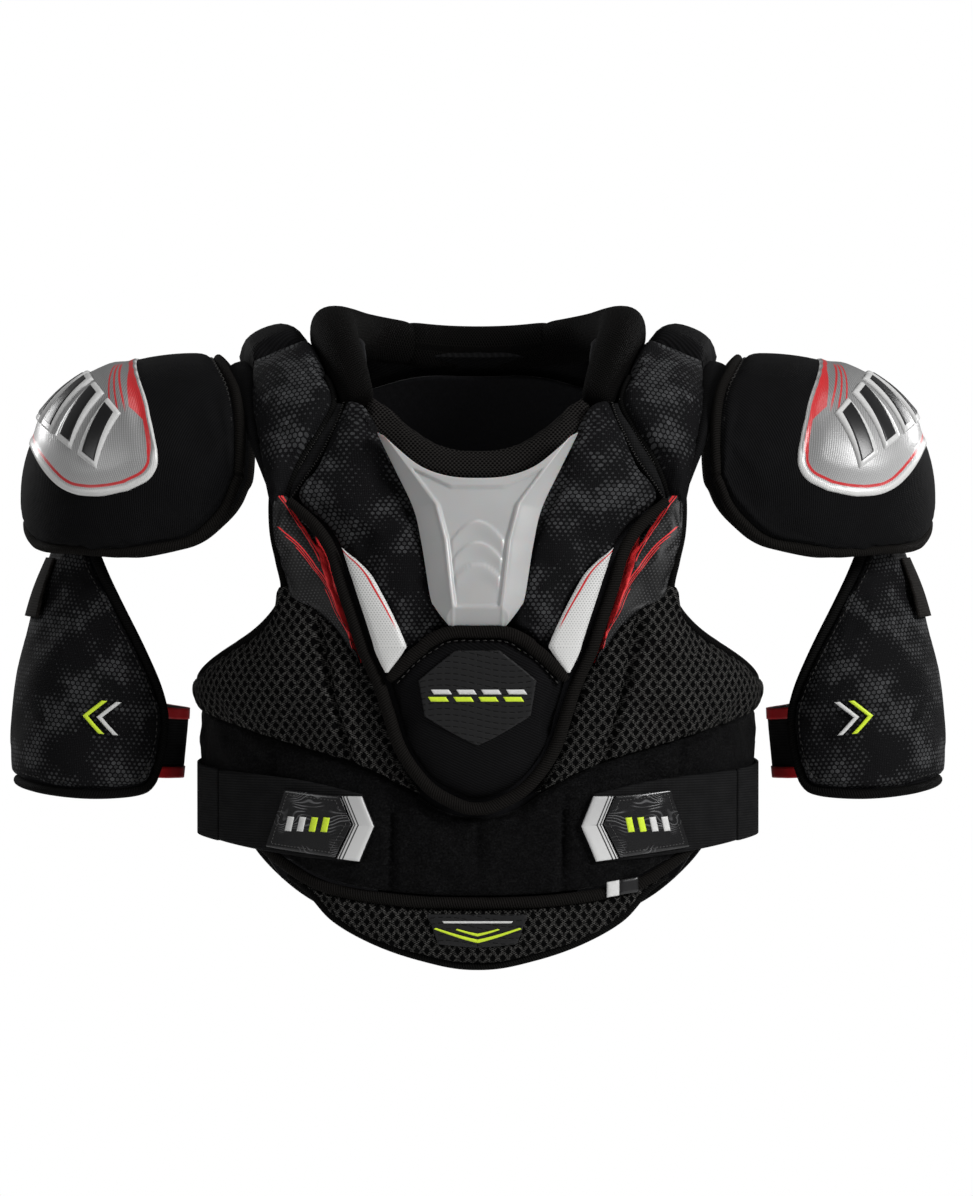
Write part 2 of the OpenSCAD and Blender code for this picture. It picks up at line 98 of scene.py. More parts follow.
def inside(edges, u, v):
    """Points between four edges: low and high run with u, near and far run with v."""
    low, high, near, far = edges
    one = np.ones_like(u)
    ends = [
        mix(along(low, u * 0), along(low, one), u[..., None]),
        mix(along(high, u * 0), along(high, one), u[..., None]),
    ]
    return (
        mix(along(low, u), along(high, u), v[..., None])
        + mix(along(near, v), along(far, v), u[..., None])
        - mix(ends[0], ends[1], v[..., None])
    )


def mirrored(points):
    return [(-x, z) for x, z in points]


def both_sides(points):
    return mirrored(points[:0:-1]) + list(points)


def flanked(near, far):
    """The four edges between two lines that run upwards, closed by a straight line at each end."""
    return [[near[0], far[0]], [near[-1], far[-1]], near, far]


def stacked(low, high):
    """The four edges between a lower and an upper line, closed by a straight line at each end."""
    return [low, high, [low[0], high[0]], [low[-1], high[-1]]]


def straight(points):
    """The same line with its corners kept sharp: each side is filled in with points of its own."""
    p = np.asarray(points, float)
    return [tuple(mix(a, b, t)) for a, b in zip(p[:-1], p[1:]) for t in (0, 0.06, 0.5, 0.94)] + [tuple(p[-1])]


def sharp(edges):
    return [straight(e) for e in edges]


def beside(points, d):
    """The same line moved sideways by d, to the left of its direction."""
    p = np.asarray(points, float)
    t = np.gradient(p, axis=0)
    t /= np.linalg.norm(t, axis=1)[:, None]
    return [tuple(q) for q in p + d * np.stack([-t[:, 1], t[:, 0]], axis=1)]


# ---- the four surfaces ----

CHEST_HALF_WIDTH = 152
FRONT_DEPTH, BACK_DEPTH = 118, 104
NECK_HEIGHT, CHEST_HEIGHT, BLADE_HEIGHT = 40, -140, -60
ARMPIT_FLARE, FLARE_HEIGHT = 35, 120
ROUNDNESS = 2.4
SLOPE_START, SLOPE = 65, 0.4
WAIST_TAPER_FRONT, WAIST_TAPER_BACK = 0.05, 0.08
CAP_CENTRE, CAP_RADII, CAP_LEAN = np.array([150, 4, -62]), np.array([112, 86, 88]), np.radians(41)
ARM_TOP, ARM_LEAN = np.array([200, 4, -62]), np.radians(5.5)


def half_width(z):
    return CHEST_HALF_WIDTH + ARMPIT_FLARE * smooth((z - CHEST_HEIGHT) / FLARE_HEIGHT)


def shoulder_top(x):
    return NECK_HEIGHT - SLOPE * np.maximum(0, np.abs(x) - SLOPE_START)


def depth(z, front):
    at_front = FRONT_DEPTH - WAIST_TAPER_FRONT * np.maximum(0, CHEST_HEIGHT - z)
    at_back = BACK_DEPTH - WAIST_TAPER_BACK * np.maximum(0, CHEST_HEIGHT - z)
    return np.where(front, at_front, at_back)


def torso(p):
    """p is (turn, z): turn is 0 at the chest, 90 at the left side and 180 at the spine."""
    a, z = np.radians(p[..., 0]), p[..., 1]
    s, c = np.sin(a), np.cos(a)
    x = half_width(z) * np.sign(s) * np.abs(s) ** (2 / ROUNDNESS)
    full = np.where(c >= 0, CHEST_HEIGHT, BLADE_HEIGHT)
    rise = np.clip((z - full) / (shoulder_top(x) - full), 0, 1)
    y = -np.sign(c) * depth(z, c >= 0) * np.abs(c) ** (2 / ROUNDNESS) * np.sqrt(1 - rise**2)
    return np.stack([x, y, z], axis=-1)


def shoulder(p):
    """p is (x, tilt): tilt is 0 at the chest, 90 on top of the shoulder and 180 at the blade."""
    x, tilt = p[..., 0], p[..., 1]
    full = np.where(tilt <= 90, CHEST_HEIGHT, BLADE_HEIGHT)
    z = full + (shoulder_top(x) - full) * np.sin(np.radians(tilt))
    narrow = np.maximum(0, 1 - np.minimum(1, np.abs(x) / half_width(z)) ** ROUNDNESS) ** (1 / ROUNDNESS)
    return np.stack([x, -depth(z, tilt <= 90) * narrow * np.cos(np.radians(tilt)), z], axis=-1)


def cap_dome(p):
    """p is in degrees from the dome's pole: outward and down, and towards the back."""
    far = np.maximum(np.linalg.norm(p, axis=-1), 1e-6)[..., None]
    a = p / far
    pole = np.array([np.sin(CAP_LEAN), 0, np.cos(CAP_LEAN)])
    down = np.array([np.cos(CAP_LEAN), 0, -np.sin(CAP_LEAN)])
    side = a[..., :1] * down + a[..., 1:] * np.array([0, 1, 0])
    d = np.cos(np.radians(far)) * pole + np.sin(np.radians(far)) * side
    r = np.sum(np.abs(d / CAP_RADII) ** ROUNDNESS, axis=-1) ** (-1 / ROUNDNESS)
    return CAP_CENTRE + r[..., None] * d


def arm_radius(h):
    return 35 + 11 * smooth((-15 - h) / 110)


def arm(p):
    """p is (turn, height): turn is 0 at the front of the arm and 90 on its outer side."""
    a, h = np.radians(p[..., :1]), p[..., 1:]
    out = np.array([np.cos(ARM_LEAN), 0, np.sin(ARM_LEAN)])
    up = np.array([-np.sin(ARM_LEAN), 0, np.cos(ARM_LEAN)])
    return ARM_TOP + h * up + arm_radius(h) * (np.sin(a) * out - np.cos(a) * np.array([0, 1, 0]))


def normal(surface, p, d=0.4):
    across = surface(p + [d, 0]) - surface(p - [d, 0])
    up = surface(p + [0, d]) - surface(p - [0, d])
    n = np.cross(across, up)
    return n / np.linalg.norm(n, axis=-1)[..., None]


def raised(surface, p, h):
    return surface(p) + np.asarray(h)[..., None] * normal(surface, p)


def turn_of(x, z):
    """The turn at which the torso is x from its middle."""
    share = min(1, abs(x) / float(half_width(z)))
    return np.sign(x) * np.degrees(np.arcsin(share ** (ROUNDNESS / 2)))


def on_front(points):
    return [(turn_of(x, z), z) for x, z in points]


def on_back(points):
    return [(180 - turn_of(x, z), z) for x, z in points]


def on_arch(points):
    tilts = [(z - CHEST_HEIGHT) / (float(shoulder_top(x)) - CHEST_HEIGHT) for x, z in points]
    return [(x, np.degrees(np.arcsin(np.clip(t, 0, 1)))) for (x, _), t in zip(points, tilts)]


# How far apart two points of each surface's coordinates are, in mm, for patterns that keep their size
TURNS = np.linspace(0, 360, 721)
_ring = torso(np.stack([TURNS, np.full_like(TURNS, CHEST_HEIGHT)], axis=-1))
RING_LENGTH = np.concatenate([[0], np.cumsum(np.linalg.norm(np.diff(_ring, axis=0), axis=1))])


def unroll(surface, p):
    """Flat coordinates in mm for a surface's own two coordinates."""
    a, b = p[..., 0], p[..., 1]
    if surface is torso:
        return np.stack([np.sign(a) * np.interp(np.abs(a), TURNS, RING_LENGTH), b * 1.12], axis=-1)
    if surface is shoulder:
        return np.stack([a, b * 2.2], axis=-1)
    if surface is cap_dome:
        return p * 1.75
    return np.stack([np.radians(a) * 48, b], axis=-1)


# ---- meshes ----


def mesh_object(name, points, faces, uv=None, share=None):
    """A smooth mesh from points in mm. uv and share are laid out point by point."""
    mesh = bpy.data.meshes.new(name)
    mesh.from_pydata([tuple(p) for p in np.asarray(points) * MM], [], faces)
    corners = np.empty(len(mesh.loops), int)
    mesh.loops.foreach_get("vertex_index", corners)
    for label, values in (("mm", uv), ("share", share)):
        if values is not None:
            layer = mesh.uv_layers.new(name=label)
            layer.data.foreach_set("uv", np.asarray(values, float)[corners].ravel())
    mesh.polygons.foreach_set("use_smooth", np.ones(len(mesh.polygons), bool))
    mesh.update()
    obj = bpy.data.objects.new(name, mesh)
    bpy.context.collection.objects.link(obj)
    return obj


def clustered(n, ease=0.55):
    """n + 1 shares from 0 to 1, closer together near both ends."""
    t = np.linspace(0, 1, n + 1)
    return mix(t, smooth(t), ease)


class Patch:
    """A fine grid inside four edges, with what a height rule needs at each of its points."""

    def __init__(self, surface, edges, spacing):
        self.surface = surface
        probe = np.linspace(0, 1, 24)
        wide = max(self.length(surface, along(e, probe)) for e in edges[:2])
        tall = max(self.length(surface, along(e, probe)) for e in edges[2:])
        self.nu, self.nv = max(4, int(wide / spacing)), max(4, int(tall / spacing))
        self.u, self.v = np.meshgrid(clustered(self.nu), clustered(self.nv))
        self.at = inside(edges, self.u, self.v)
        base = surface(self.at)
        self.mm = unroll(surface, self.at)
        self.x, self.z = base[..., 0], base[..., 2]
        along_u = self.run(base, 1)
        along_v = self.run(base, 0)
        self.from_near, self.from_far = along_u, along_u[:, -1:] - along_u
        self.from_low, self.from_high = along_v, along_v[-1:] - along_v
        self.sides = [self.from_near, self.from_far, self.from_low, self.from_high]
        self.rim = np.min(self.sides, axis=0)

    @staticmethod
    def length(surface, line):
        return np.linalg.norm(np.diff(surface(line), axis=0), axis=1).sum()

    @staticmethod
    def run(points, axis):
        steps = np.linalg.norm(np.diff(points, axis=axis), axis=-1)
        start = np.zeros_like(points[..., 0]).take([0], axis=axis)
        return np.concatenate([start, np.cumsum(steps, axis=axis)], axis=axis)

    def away_from(self, line, dense=200):
        """The distance in mm to a line given in the surface's own coordinates."""
        marks = unroll(self.surface, along(line, np.linspace(0, 1, dense)))
        gaps = self.mm[..., None, :] - marks
        return np.sqrt((gaps**2).sum(-1)).min(-1)


def rounded(patch, r):
    """0 at the rim, 1 from r mm inside it, round in between."""
    rounds = [np.sqrt(1 - (1 - np.clip(side / r, 0, 1)) ** 2) for side in patch.sides]
    return np.prod(rounds, axis=0)


def crown(patch, power=2.2):
    return (1 - np.abs(2 * patch.u - 1) ** power) * (1 - np.abs(2 * patch.v - 1) ** power)


def groove(patch, line, width, depth_share):
    """A sewn channel along a line: 1 away from it, less on it."""
    return 1 - depth_share * np.exp(-((patch.away_from(line) / width) ** 2))


def solid(name, patch, under, over, share=None):
    """A closed solid over a patch between two heights in mm, top points first.

    share gives a patch's second coordinates, where they aren't how far across and up each point is.
    """
    shape = patch.u.shape
    under = np.broadcast_to(np.asarray(under, float), shape)
    over = np.maximum(np.broadcast_to(np.asarray(over, float), shape), under + 0.25)
    top, bottom = raised(patch.surface, patch.at, over), raised(patch.surface, patch.at, under)
    n, nu, nv = patch.u.size, patch.nu, patch.nv
    grid = np.arange(n).reshape(shape)
    a, b, c, d = grid[:-1, :-1], grid[:-1, 1:], grid[1:, 1:], grid[1:, :-1]
    skin = np.stack([a, b, c, d], axis=-1).reshape(-1, 4)
    rim = np.concatenate([grid[0, :], grid[1:, nu], grid[nv, nu - 1 :: -1], grid[nv - 1 : 0 : -1, 0]])
    after = np.roll(rim, -1)
    walls = np.stack([after, rim, rim + n, after + n], axis=-1)
    faces = np.concatenate([skin, skin[:, ::-1] + n, walls])
    points = np.concatenate([top.reshape(-1, 3), bottom.reshape(-1, 3)])
    uv = np.tile(patch.mm.reshape(-1, 2), (2, 1))
    pattern = share(patch) if share else np.stack([patch.u, patch.v], axis=-1)
    share = np.tile(pattern.reshape(-1, 2), (2, 1))
    obj = mesh_object(name, points, [tuple(f) for f in faces.tolist()], uv, share)
    obj["top_points"] = n
    return obj


def waves(mm, size):
    """A gentle unevenness between -1 and 1, about size mm from crest to crest."""
    x, y = mm[..., 0] * 2 * np.pi / size, mm[..., 1] * 2 * np.pi / size
    across = np.sin(x + 1.3 * np.sin(0.7 * y))
    upwards = np.sin(0.8 * y + 1.7 * np.sin(0.6 * x + 1))
    return (across + upwards + np.sin(0.9 * (x + y))) / 3


def pad(
    name, surface, edges, under, over, spacing=2.4, round_mm=6, seams=(), puff=None, uneven=0.35,
    share=None,
):
    """A padded piece: crowned, round at its rim, with sewn channels, and puffed up as cloth."""
    patch = Patch(surface, edges, spacing)
    low, high = over if isinstance(over, tuple) else (over, over)
    rise = mix(low, high, crown(patch)) * mix(0.12, 1, rounded(patch, round_mm))
    rise = rise + uneven * waves(patch.mm, 31) * rounded(patch, 12)
    held = patch.rim < 1.2
    for line, width, cut in seams:
        rise = rise * groove(patch, line, width, cut)
        held |= patch.away_from(line) < width * 0.4
    obj = solid(name, patch, under, under + rise, share=share)
    if puff:
        inflate(obj, ~held.ravel(), *puff)
    return obj


def inflate(obj, free, pressure, most, frames=10):
    """Cloth with air pressure under it. Points that aren't free stay, and none moves more than most mm."""
    mesh = obj.data
    n = len(mesh.vertices)
    before = np.empty(n * 3)
    mesh.vertices.foreach_get("co", before)
    pins = obj.vertex_groups.new(name="pinned")
    loose = np.zeros(n, bool)
    loose[: obj["top_points"]] = free
    pins.add([int(i) for i in np.flatnonzero(~loose)], 1.0, "REPLACE")
    cloth = obj.modifiers.new("cloth", "CLOTH")
    s = cloth.settings
    s.quality = 4
    s.mass = 0.25
    s.tension_stiffness = s.compression_stiffness = 12
    s.shear_stiffness = 4
    s.bending_stiffness = 0.4
    s.use_pressure = True
    s.uniform_pressure_force = pressure
    s.shrink_min = -0.03
    s.vertex_group_mass = "pinned"
    s.effector_weights.gravity = 0
    cloth.collision_settings.use_collision = False
    cloth.point_cache.frame_start, cloth.point_cache.frame_end = 1, frames
    for f in range(1, frames + 1):
        bpy.context.scene.frame_set(f)
    settled = obj.evaluated_get(bpy.context.evaluated_depsgraph_get()).to_mesh()
    after = np.empty(n * 3)
    settled.vertices.foreach_get("co", after)
    obj.modifiers.remove(cloth)
    bpy.context.scene.frame_set(1)
    move = (after - before).reshape(-1, 3)
    size = np.maximum(np.linalg.norm(move, axis=1), 1e-9)[:, None]
    limit = most * MM
    move *= limit * np.tanh(size / limit) / size
    mesh.vertices.foreach_set("co", (before + move.ravel()))
    mesh.update()


def path_points(surface, line, height, steps):
    """Points, tangents and normals along a line over a surface, evenly spaced."""
    fine = along(line, np.linspace(0, 1, 400))
    points = raised(surface, fine, np.full(len(fine), float(height)))
    run = np.concatenate([[0], np.cumsum(np.linalg.norm(np.diff(points, axis=0), axis=1))])
    at = np.linspace(0, run[-1], steps)
    where = np.stack([np.interp(at, run, fine[:, k]) for k in (0, 1)], axis=-1)
    p = np.stack([np.interp(at, run, points[:, k]) for k in range(3)], axis=-1)
    t = np.gradient(p, axis=0)
    t /= np.linalg.norm(t, axis=1)[:, None]
    n = normal(surface, where)
    n -= (n * t).sum(1)[:, None] * t
    n /= np.linalg.norm(n, axis=1)[:, None]
    return p, t, n, at


def every_pair(rows, columns):
    return np.stack(np.broadcast_arrays(rows[:, None], columns[None]), axis=-1).reshape(-1, 2)


def tube(name, p, t, n, run, wide, high, sides=14, closed=False, flat=1.0):
    """A tube of oval section along points. flat below 1 squares the section off, as a tape's."""
    a = np.linspace(0, 2 * np.pi, sides, endpoint=False)
    ca, sa = np.sign(np.cos(a)) * np.abs(np.cos(a)) ** flat, np.sign(np.sin(a)) * np.abs(np.sin(a)) ** flat
    side = np.cross(t, n)
    wide, high = (np.broadcast_to(w, len(p))[:, None, None] for w in (wide, high))
    rings = p[:, None] + wide * ca[None, :, None] * side[:, None] + high * sa[None, :, None] * n[:, None]
    count, verts = len(p), rings.reshape(-1, 3)
    i, k = np.meshgrid(np.arange(count if closed else count - 1), np.arange(sides), indexing="ij")
    j, m = (i + 1) % count, (k + 1) % sides
    faces = np.stack([i * sides + k, i * sides + m, j * sides + m, j * sides + k], axis=-1).reshape(-1, 4)
    faces = [tuple(f) for f in faces.tolist()]
    if not closed:
        faces += [tuple(range(sides - 1, -1, -1)), tuple((count - 1) * sides + q for q in range(sides))]
    girth = 2 * np.pi * float((np.mean(wide) + np.mean(high)) / 2)
    uv = every_pair(run, a / (2 * np.pi) * girth)
    share = every_pair(run / run[-1], a / (2 * np.pi))
    return mesh_object(name, verts, faces, uv, share)


def binding(name, surface, line, height, wide=3.4, high=3.0, spacing=2.0, ends=1.0):
    """Tape folded over an edge, rounded, that follows a line over a surface."""
    fine = along(line, np.linspace(0, 1, 300))
    steps = max(8, int(Patch.length(surface, fine) / spacing))
    p, t, n, run = path_points(surface, line, height, steps)
    taper = 1 - (1 - ends) * np.abs(2 * run / run[-1] - 1) ** 12
    return tube(name, p, t, n, run, wide * taper, high * taper)


def stitches(name, surface, line, height, pitch=3.6, length=2.4, r=0.35, zigzag=0.0):
    """A row of sewn stitches along a line over a surface.

    zigzag turns every other stitch by that many radians.
    """
    fine = along(line, np.linspace(0, 1, 300))
    count = max(2, int(Patch.length(surface, fine) / pitch))
    p, t, n, _ = path_points(surface, line, height, count)
    turn = (zigzag * (-1) ** np.arange(count))[:, None]
    t = t * np.cos(turn) + np.cross(t, n) * np.sin(turn)
    side = np.cross(t, n)
    shares = np.array([-0.5, -0.38, 0, 0.38, 0.5])[:, None, None]
    radii = np.array([0.15, 0.8, 1, 0.8, 0.15])[:, None, None] * r
    drop = np.array([-0.7, -0.1, 0.15, -0.1, -0.7])[:, None, None] * r
    corners = 6
    a = np.linspace(0, 2 * np.pi, corners, endpoint=False)[:, None]
    p, t, n, side = (v[:, None, None] for v in (p, t, n, side))
    rings = p + shares * length * t + drop * n + radii * (np.cos(a) * side + np.sin(a) * n)
    each = len(shares) * corners
    faces = []
    for start in range(0, count * each, each):
        last = start + each - corners
        for ring in range(start, last, corners):
            for k in range(corners):
                m = (k + 1) % corners
                faces.append((ring + k, ring + m, ring + corners + m, ring + corners + k))
        faces.append(tuple(range(start + corners - 1, start - 1, -1)))
        faces.append(tuple(range(last, last + corners)))
    return mesh_object(name, rings.reshape(-1, 3), faces)


# ---- materials ----


class Value:
    """What a shader node gives out. Arithmetic on it adds further nodes."""

    def __init__(self, paint, socket):
        self.paint = paint
        self.socket = socket

    def math(self, operation, *others):
        return self.paint.node("Math", self, *others, operation=operation)

    def __add__(self, other):
        return self.math("ADD", other)

    def __sub__(self, other):
        return self.math("SUBTRACT", other)

    def __mul__(self, other):
        return self.math("MULTIPLY", other)

    def __truediv__(self, other):
        return self.math("DIVIDE", other)

    def __abs__(self):
        return self.math("ABSOLUTE")


def lower(a, b):
    return a.math("MINIMUM", b)


def higher(a, b):
    return a.math("MAXIMUM", b)


def sine(value):
    return value.math("SINE")


HONEYCOMB = 1.732  # how tall two rows of a honeycomb are, for each pitch along a row


class Paint:
    """A material with a Principled shader, and short calls for the nodes that feed it."""

    def __init__(self, name, **values):
        self.material = bpy.data.materials.new(name)
        self.material.use_nodes = True
        self.tree = self.material.node_tree
        self.shader = self.tree.nodes["Principled BSDF"]
        for key, value in values.items():
            self.shader.inputs[key.replace("_", " ")].default_value = value

    def feed(self, socket, value):
        """Links an input to what another node gives out, or sets it to a plain value."""
        if isinstance(value, Value):
            self.tree.links.new(value.socket, socket)
        elif value is not None:
            socket.default_value = value

    def node(self, kind, *inputs, out=0, **settings):
        n = self.tree.nodes.new("ShaderNode" + kind)
        for key, value in settings.items():
            setattr(n, key, value)
        for socket, value in zip(n.inputs, inputs):
            self.feed(socket, value)
        return Value(self, n.outputs[out])

    def vector(self, operation, *inputs, out=0):
        return self.node("VectorMath", *inputs, operation=operation, out=out)

    def length(self, vector):
        return self.vector("LENGTH", vector, out=1)

    def uv(self, label="mm"):
        return self.node("UVMap", uv_map=label)

    def local(self):
        """Where each point is on its own piece, in metres."""
        return self.node("TexCoord", out=3)

    def split(self, vector):
        x = self.node("SeparateXYZ", vector)
        return x, Value(self, x.socket.node.outputs[1])

    def noise(self, vector, scale, detail=2.0, rough=0.5):
        return self.node("TexNoise", vector, None, scale, detail, rough)

    def between(self, value, a, b, low=0.0, high=1.0):
        """low where value is a or less, high where it is b or more. a may be over b."""
        return self.node("MapRange", value, a, b, low, high, clamp=True)

    def ribs(self, vector, pitch, degrees):
        """Parallel ridges: 1 along each crest, 0 between them."""
        x, y = self.split(vector)
        a = np.radians(degrees)
        run = x * np.cos(a) + y * np.sin(a)
        return sine(run * (2 * np.pi / pitch)) * 0.5 + 0.5

    def cells(self, vector, wide, tall):
        """Where in its own cell each point is, on two staggered grids."""
        top, bottom = (wide / 2, tall / 2, 1), (-wide / 2, -tall / 2, -1)
        flat = self.vector("MULTIPLY", vector, (1, 1, 0))
        shifted = self.vector("ADD", flat, (wide / 2, tall / 2, 0))
        return self.vector("WRAP", flat, top, bottom), self.vector("WRAP", shifted, top, bottom)

    def dots(self, vector, pitch):
        """The distance to the nearest dot of a honeycomb, in pitches."""
        a, b = self.cells(vector, pitch, pitch * HONEYCOMB)
        return lower(self.length(a), self.length(b)) / pitch

    def hexagons(self, vector, pitch):
        """How far each point is from the centre of its hexagon, in pitches, and where that centre is."""
        a, b = self.cells(vector, pitch, pitch * HONEYCOMB)
        b_is_nearer = self.length(b).math("LESS_THAN", self.length(a))
        step = self.vector("SCALE", self.vector("SUBTRACT", b, a), None, None, b_is_nearer)
        local = self.vector("ADD", a, step)
        x, y = self.split(self.vector("ABSOLUTE", local))
        centre = self.vector("SUBTRACT", self.vector("MULTIPLY", vector, (1, 1, 0)), local)
        return higher(x, x * 0.5 + y * 0.866) / pitch, centre

    def colour(self, factor, low, high):
        """A mix of two colours: low where the factor is 0, high where it is 1."""
        low, high = (c if isinstance(c, Value) else (*c, 1) for c in (low, high))
        unused = [None] * 5
        return self.node("Mix", factor, *unused, low, high, out=2, data_type="RGBA")

    def base(self, colour):
        self.feed(self.shader.inputs["Base Color"], colour)

    def bump(self, height, millimetres, strength=1.0):
        """Fine relief on top of what the shader already has."""
        n = self.tree.nodes.new("ShaderNodeBump")
        n.inputs["Strength"].default_value = strength
        n.inputs["Distance"].default_value = millimetres * MM
        self.feed(n.inputs["Height"], height)
        normal = self.shader.inputs["Normal"]
        if normal.is_linked:
            self.tree.links.new(normal.links[0].from_socket, n.inputs["Normal"])
        self.tree.links.new(n.outputs[0], normal)


BLACK = (0.0022, 0.0022, 0.0024)
BROWN_BLACK = (0.0085, 0.0078, 0.0072)
GREY = (0.054, 0.055, 0.057)
RED = (0.52, 0.016, 0.020)
# RED made brighter as painted light, to make up for the shade the piping casts on the flash panel's red wedge
# and stripes
RED_LIFTED_AS_PAINTED_LIGHT = (0.72, 0.030, 0.034)
LIME = (0.60, 0.78, 0.03)
WHITE = (0.62, 0.62, 0.61)
FABRIC = {"Roughness": 0.78, "Specular_IOR_Level": 0.025, "Sheen_Weight": 0.003, "Sheen_Roughness": 0.4}


def fabric(name, **more):
    return Paint(name, **{**FABRIC, **more})


def knit_material():
    """Fine knit in diagonal ribs, with faint wear."""
    m = fabric("black_knit", Specular_IOR_Level=0.05)
    uv = m.uv()
    rib, cross = m.ribs(uv, 1.5, 62), m.ribs(uv, 1.1, -30)
    loops = rib * (cross * 0.4 + 0.6)
    wear = m.noise(uv, 0.05, 4.0)
    m.base(m.colour(loops * m.between(wear, 0.3, 0.75, 0.5, 1.0), BLACK, (0.0080, 0.0080, 0.0087)))
    m.bump(m.noise(uv, 0.045, 3.0), 1.2, 0.5)
    m.bump(loops, 0.28, 0.8)
    return m.material


def print_material():
    """Black weave printed with grey hexagons that grow and shrink in drifts, each a shade of its own."""
    m = fabric("printed_fabric", Specular_IOR_Level=0.05)
    uv = m.uv()
    reach, centre = m.hexagons(uv, 2.65)
    drift = m.noise(centre, 0.036, 3.0, 0.62)
    own = m.noise(centre, 3.7, 0.0)
    size = m.between(drift, 0.42, 0.58, 0.08, 0.40) + m.between(own, 0.3, 0.7, -0.03, 0.03)
    dot = m.between(size - reach, 0.0, 0.06)
    shade = m.between(own, 0.25, 0.75, 0.45, 1.0) * m.between(drift, 0.38, 0.60, 0.25, 1.0)
    weave = m.ribs(uv, 0.9, 0) * m.ribs(uv, 0.9, 90)
    ground = m.colour(weave, (0.0032, 0.0032, 0.0036), (0.0085, 0.0085, 0.0092))
    m.base(m.colour(dot * shade, ground, GREY))
    m.bump(m.noise(uv, 0.04, 3.0), 1.3, 0.5)
    m.bump(weave, 0.18, 0.6)
    return m.material


def mesh_material():
    """Thick knitted mesh: staggered diamond holes painted near black, partly the dark padding under them and
    partly painted shade, between twisted yarns with painted grey highlights on their crests.
    """
    m = fabric("knit_mesh")
    uv = m.uv()
    a, b = m.cells(uv, 5.4, 8.6)
    reach = []
    for cell in (a, b):
        x, y = m.split(m.vector("ABSOLUTE", cell))
        reach.append(x / 1.75 + y / 2.75)
    walls = m.between(lower(*reach), 0.80, 1.10)
    yarn = higher(m.ribs(uv, 1.15, 57), m.ribs(uv, 1.15, -57))
    # Painted highlight: the yarn crests, speckled by noise, are painted grey. The holes, where walls is 0,
    # are painted near black, partly as painted shade.
    yarn_highlight = m.between(yarn, 0.45, 1.0) * m.between(m.noise(uv, 0.75, 2.0), 0.36, 0.64, 0.16, 1.0)
    m.base(m.colour(walls * yarn_highlight, (0.0012, 0.0012, 0.0013), (0.080, 0.078, 0.074)))
    m.bump(walls, 1.3, 1.0)
    m.bump(yarn, 0.3, 0.6)
    return m.material


def small_mesh_material(name, light):
    """The brownish ridged mesh of the neck band and the collar."""
    m = fabric(name)
    uv = m.uv()
    a, b = m.cells(uv, 1.9, 2.6)
    near = lower(m.length(a), m.length(b))
    hole = m.between(near, 0.4, 0.85)
    m.base(m.colour(hole, (0.0008, 0.0008, 0.0008), light))
    m.bump(hole, 0.5, 0.8)
    return m.material


def pile_material():
    """Loop fabric that hooks stick to: short black fuzz."""
    m = fabric("loop_fabric", Sheen_Weight=0.02, Specular_IOR_Level=0.04)
    uv = m.uv()
    fuzz = m.noise(uv, 0.85, 4.0, 0.8)
    tufts = m.between(m.noise(uv, 0.3, 3.0, 0.6), 0.35, 0.65, 0.35, 1.0)
    m.base(m.colour(m.between(fuzz, 0.40, 0.66) * tufts, (0.0006, 0.0006, 0.0007), (0.0105, 0.0105, 0.0110)))
    m.bump(m.noise(uv, 0.11, 2.0), 1.0, 0.4)
    m.bump(fuzz, 0.7, 0.8)
    return m.material


def tape_material(name, colour):
    """Woven edge tape with slanted overlock ribs."""
    m = fabric(name)
    uv = m.uv()
    rib = m.ribs(uv, 1.35, 18)
    fine = m.noise(uv, 0.9, 3.0, 0.7)
    m.base(m.colour(rib * fine, tuple(c * 0.45 for c in colour), tuple(c * 1.9 for c in colour)))
    m.bump(m.noise(uv, 0.16, 3.0), 0.5, 0.6)
    m.bump(rib, 0.35, 0.8)
    return m.material


def elastic_material(name, dark, light):
    """Woven elastic: lengthwise cords crossed by fine threads."""
    m = fabric(name)
    uv = m.uv()
    cords, threads = m.ribs(uv, 1.6, 90), m.ribs(uv, 0.8, 0)
    weave = (cords * 0.6 + 0.4) * (threads * 0.5 + 0.5)
    m.base(m.colour(weave * m.between(m.noise(uv, 0.12, 3.0), 0.3, 0.7, 0.6, 1.0), dark, light))
    m.bump(weave, 0.3, 0.8)
    return m.material


def liner_material():
    """Soft brushed lining."""
    m = fabric("liner_fabric", Sheen_Weight=0.03)
    uv = m.uv()
    brushed = m.noise(m.vector("MULTIPLY", uv, (1.6, 0.5, 1)), 0.8, 4.0, 0.7)
    m.base(m.colour(brushed, (0.0035, 0.0035, 0.0040), (0.014, 0.014, 0.0155)))
    m.bump(m.dots(uv, 6.0), 0.8, 0.4)
    m.bump(brushed, 0.3, 0.5)
    return m.material


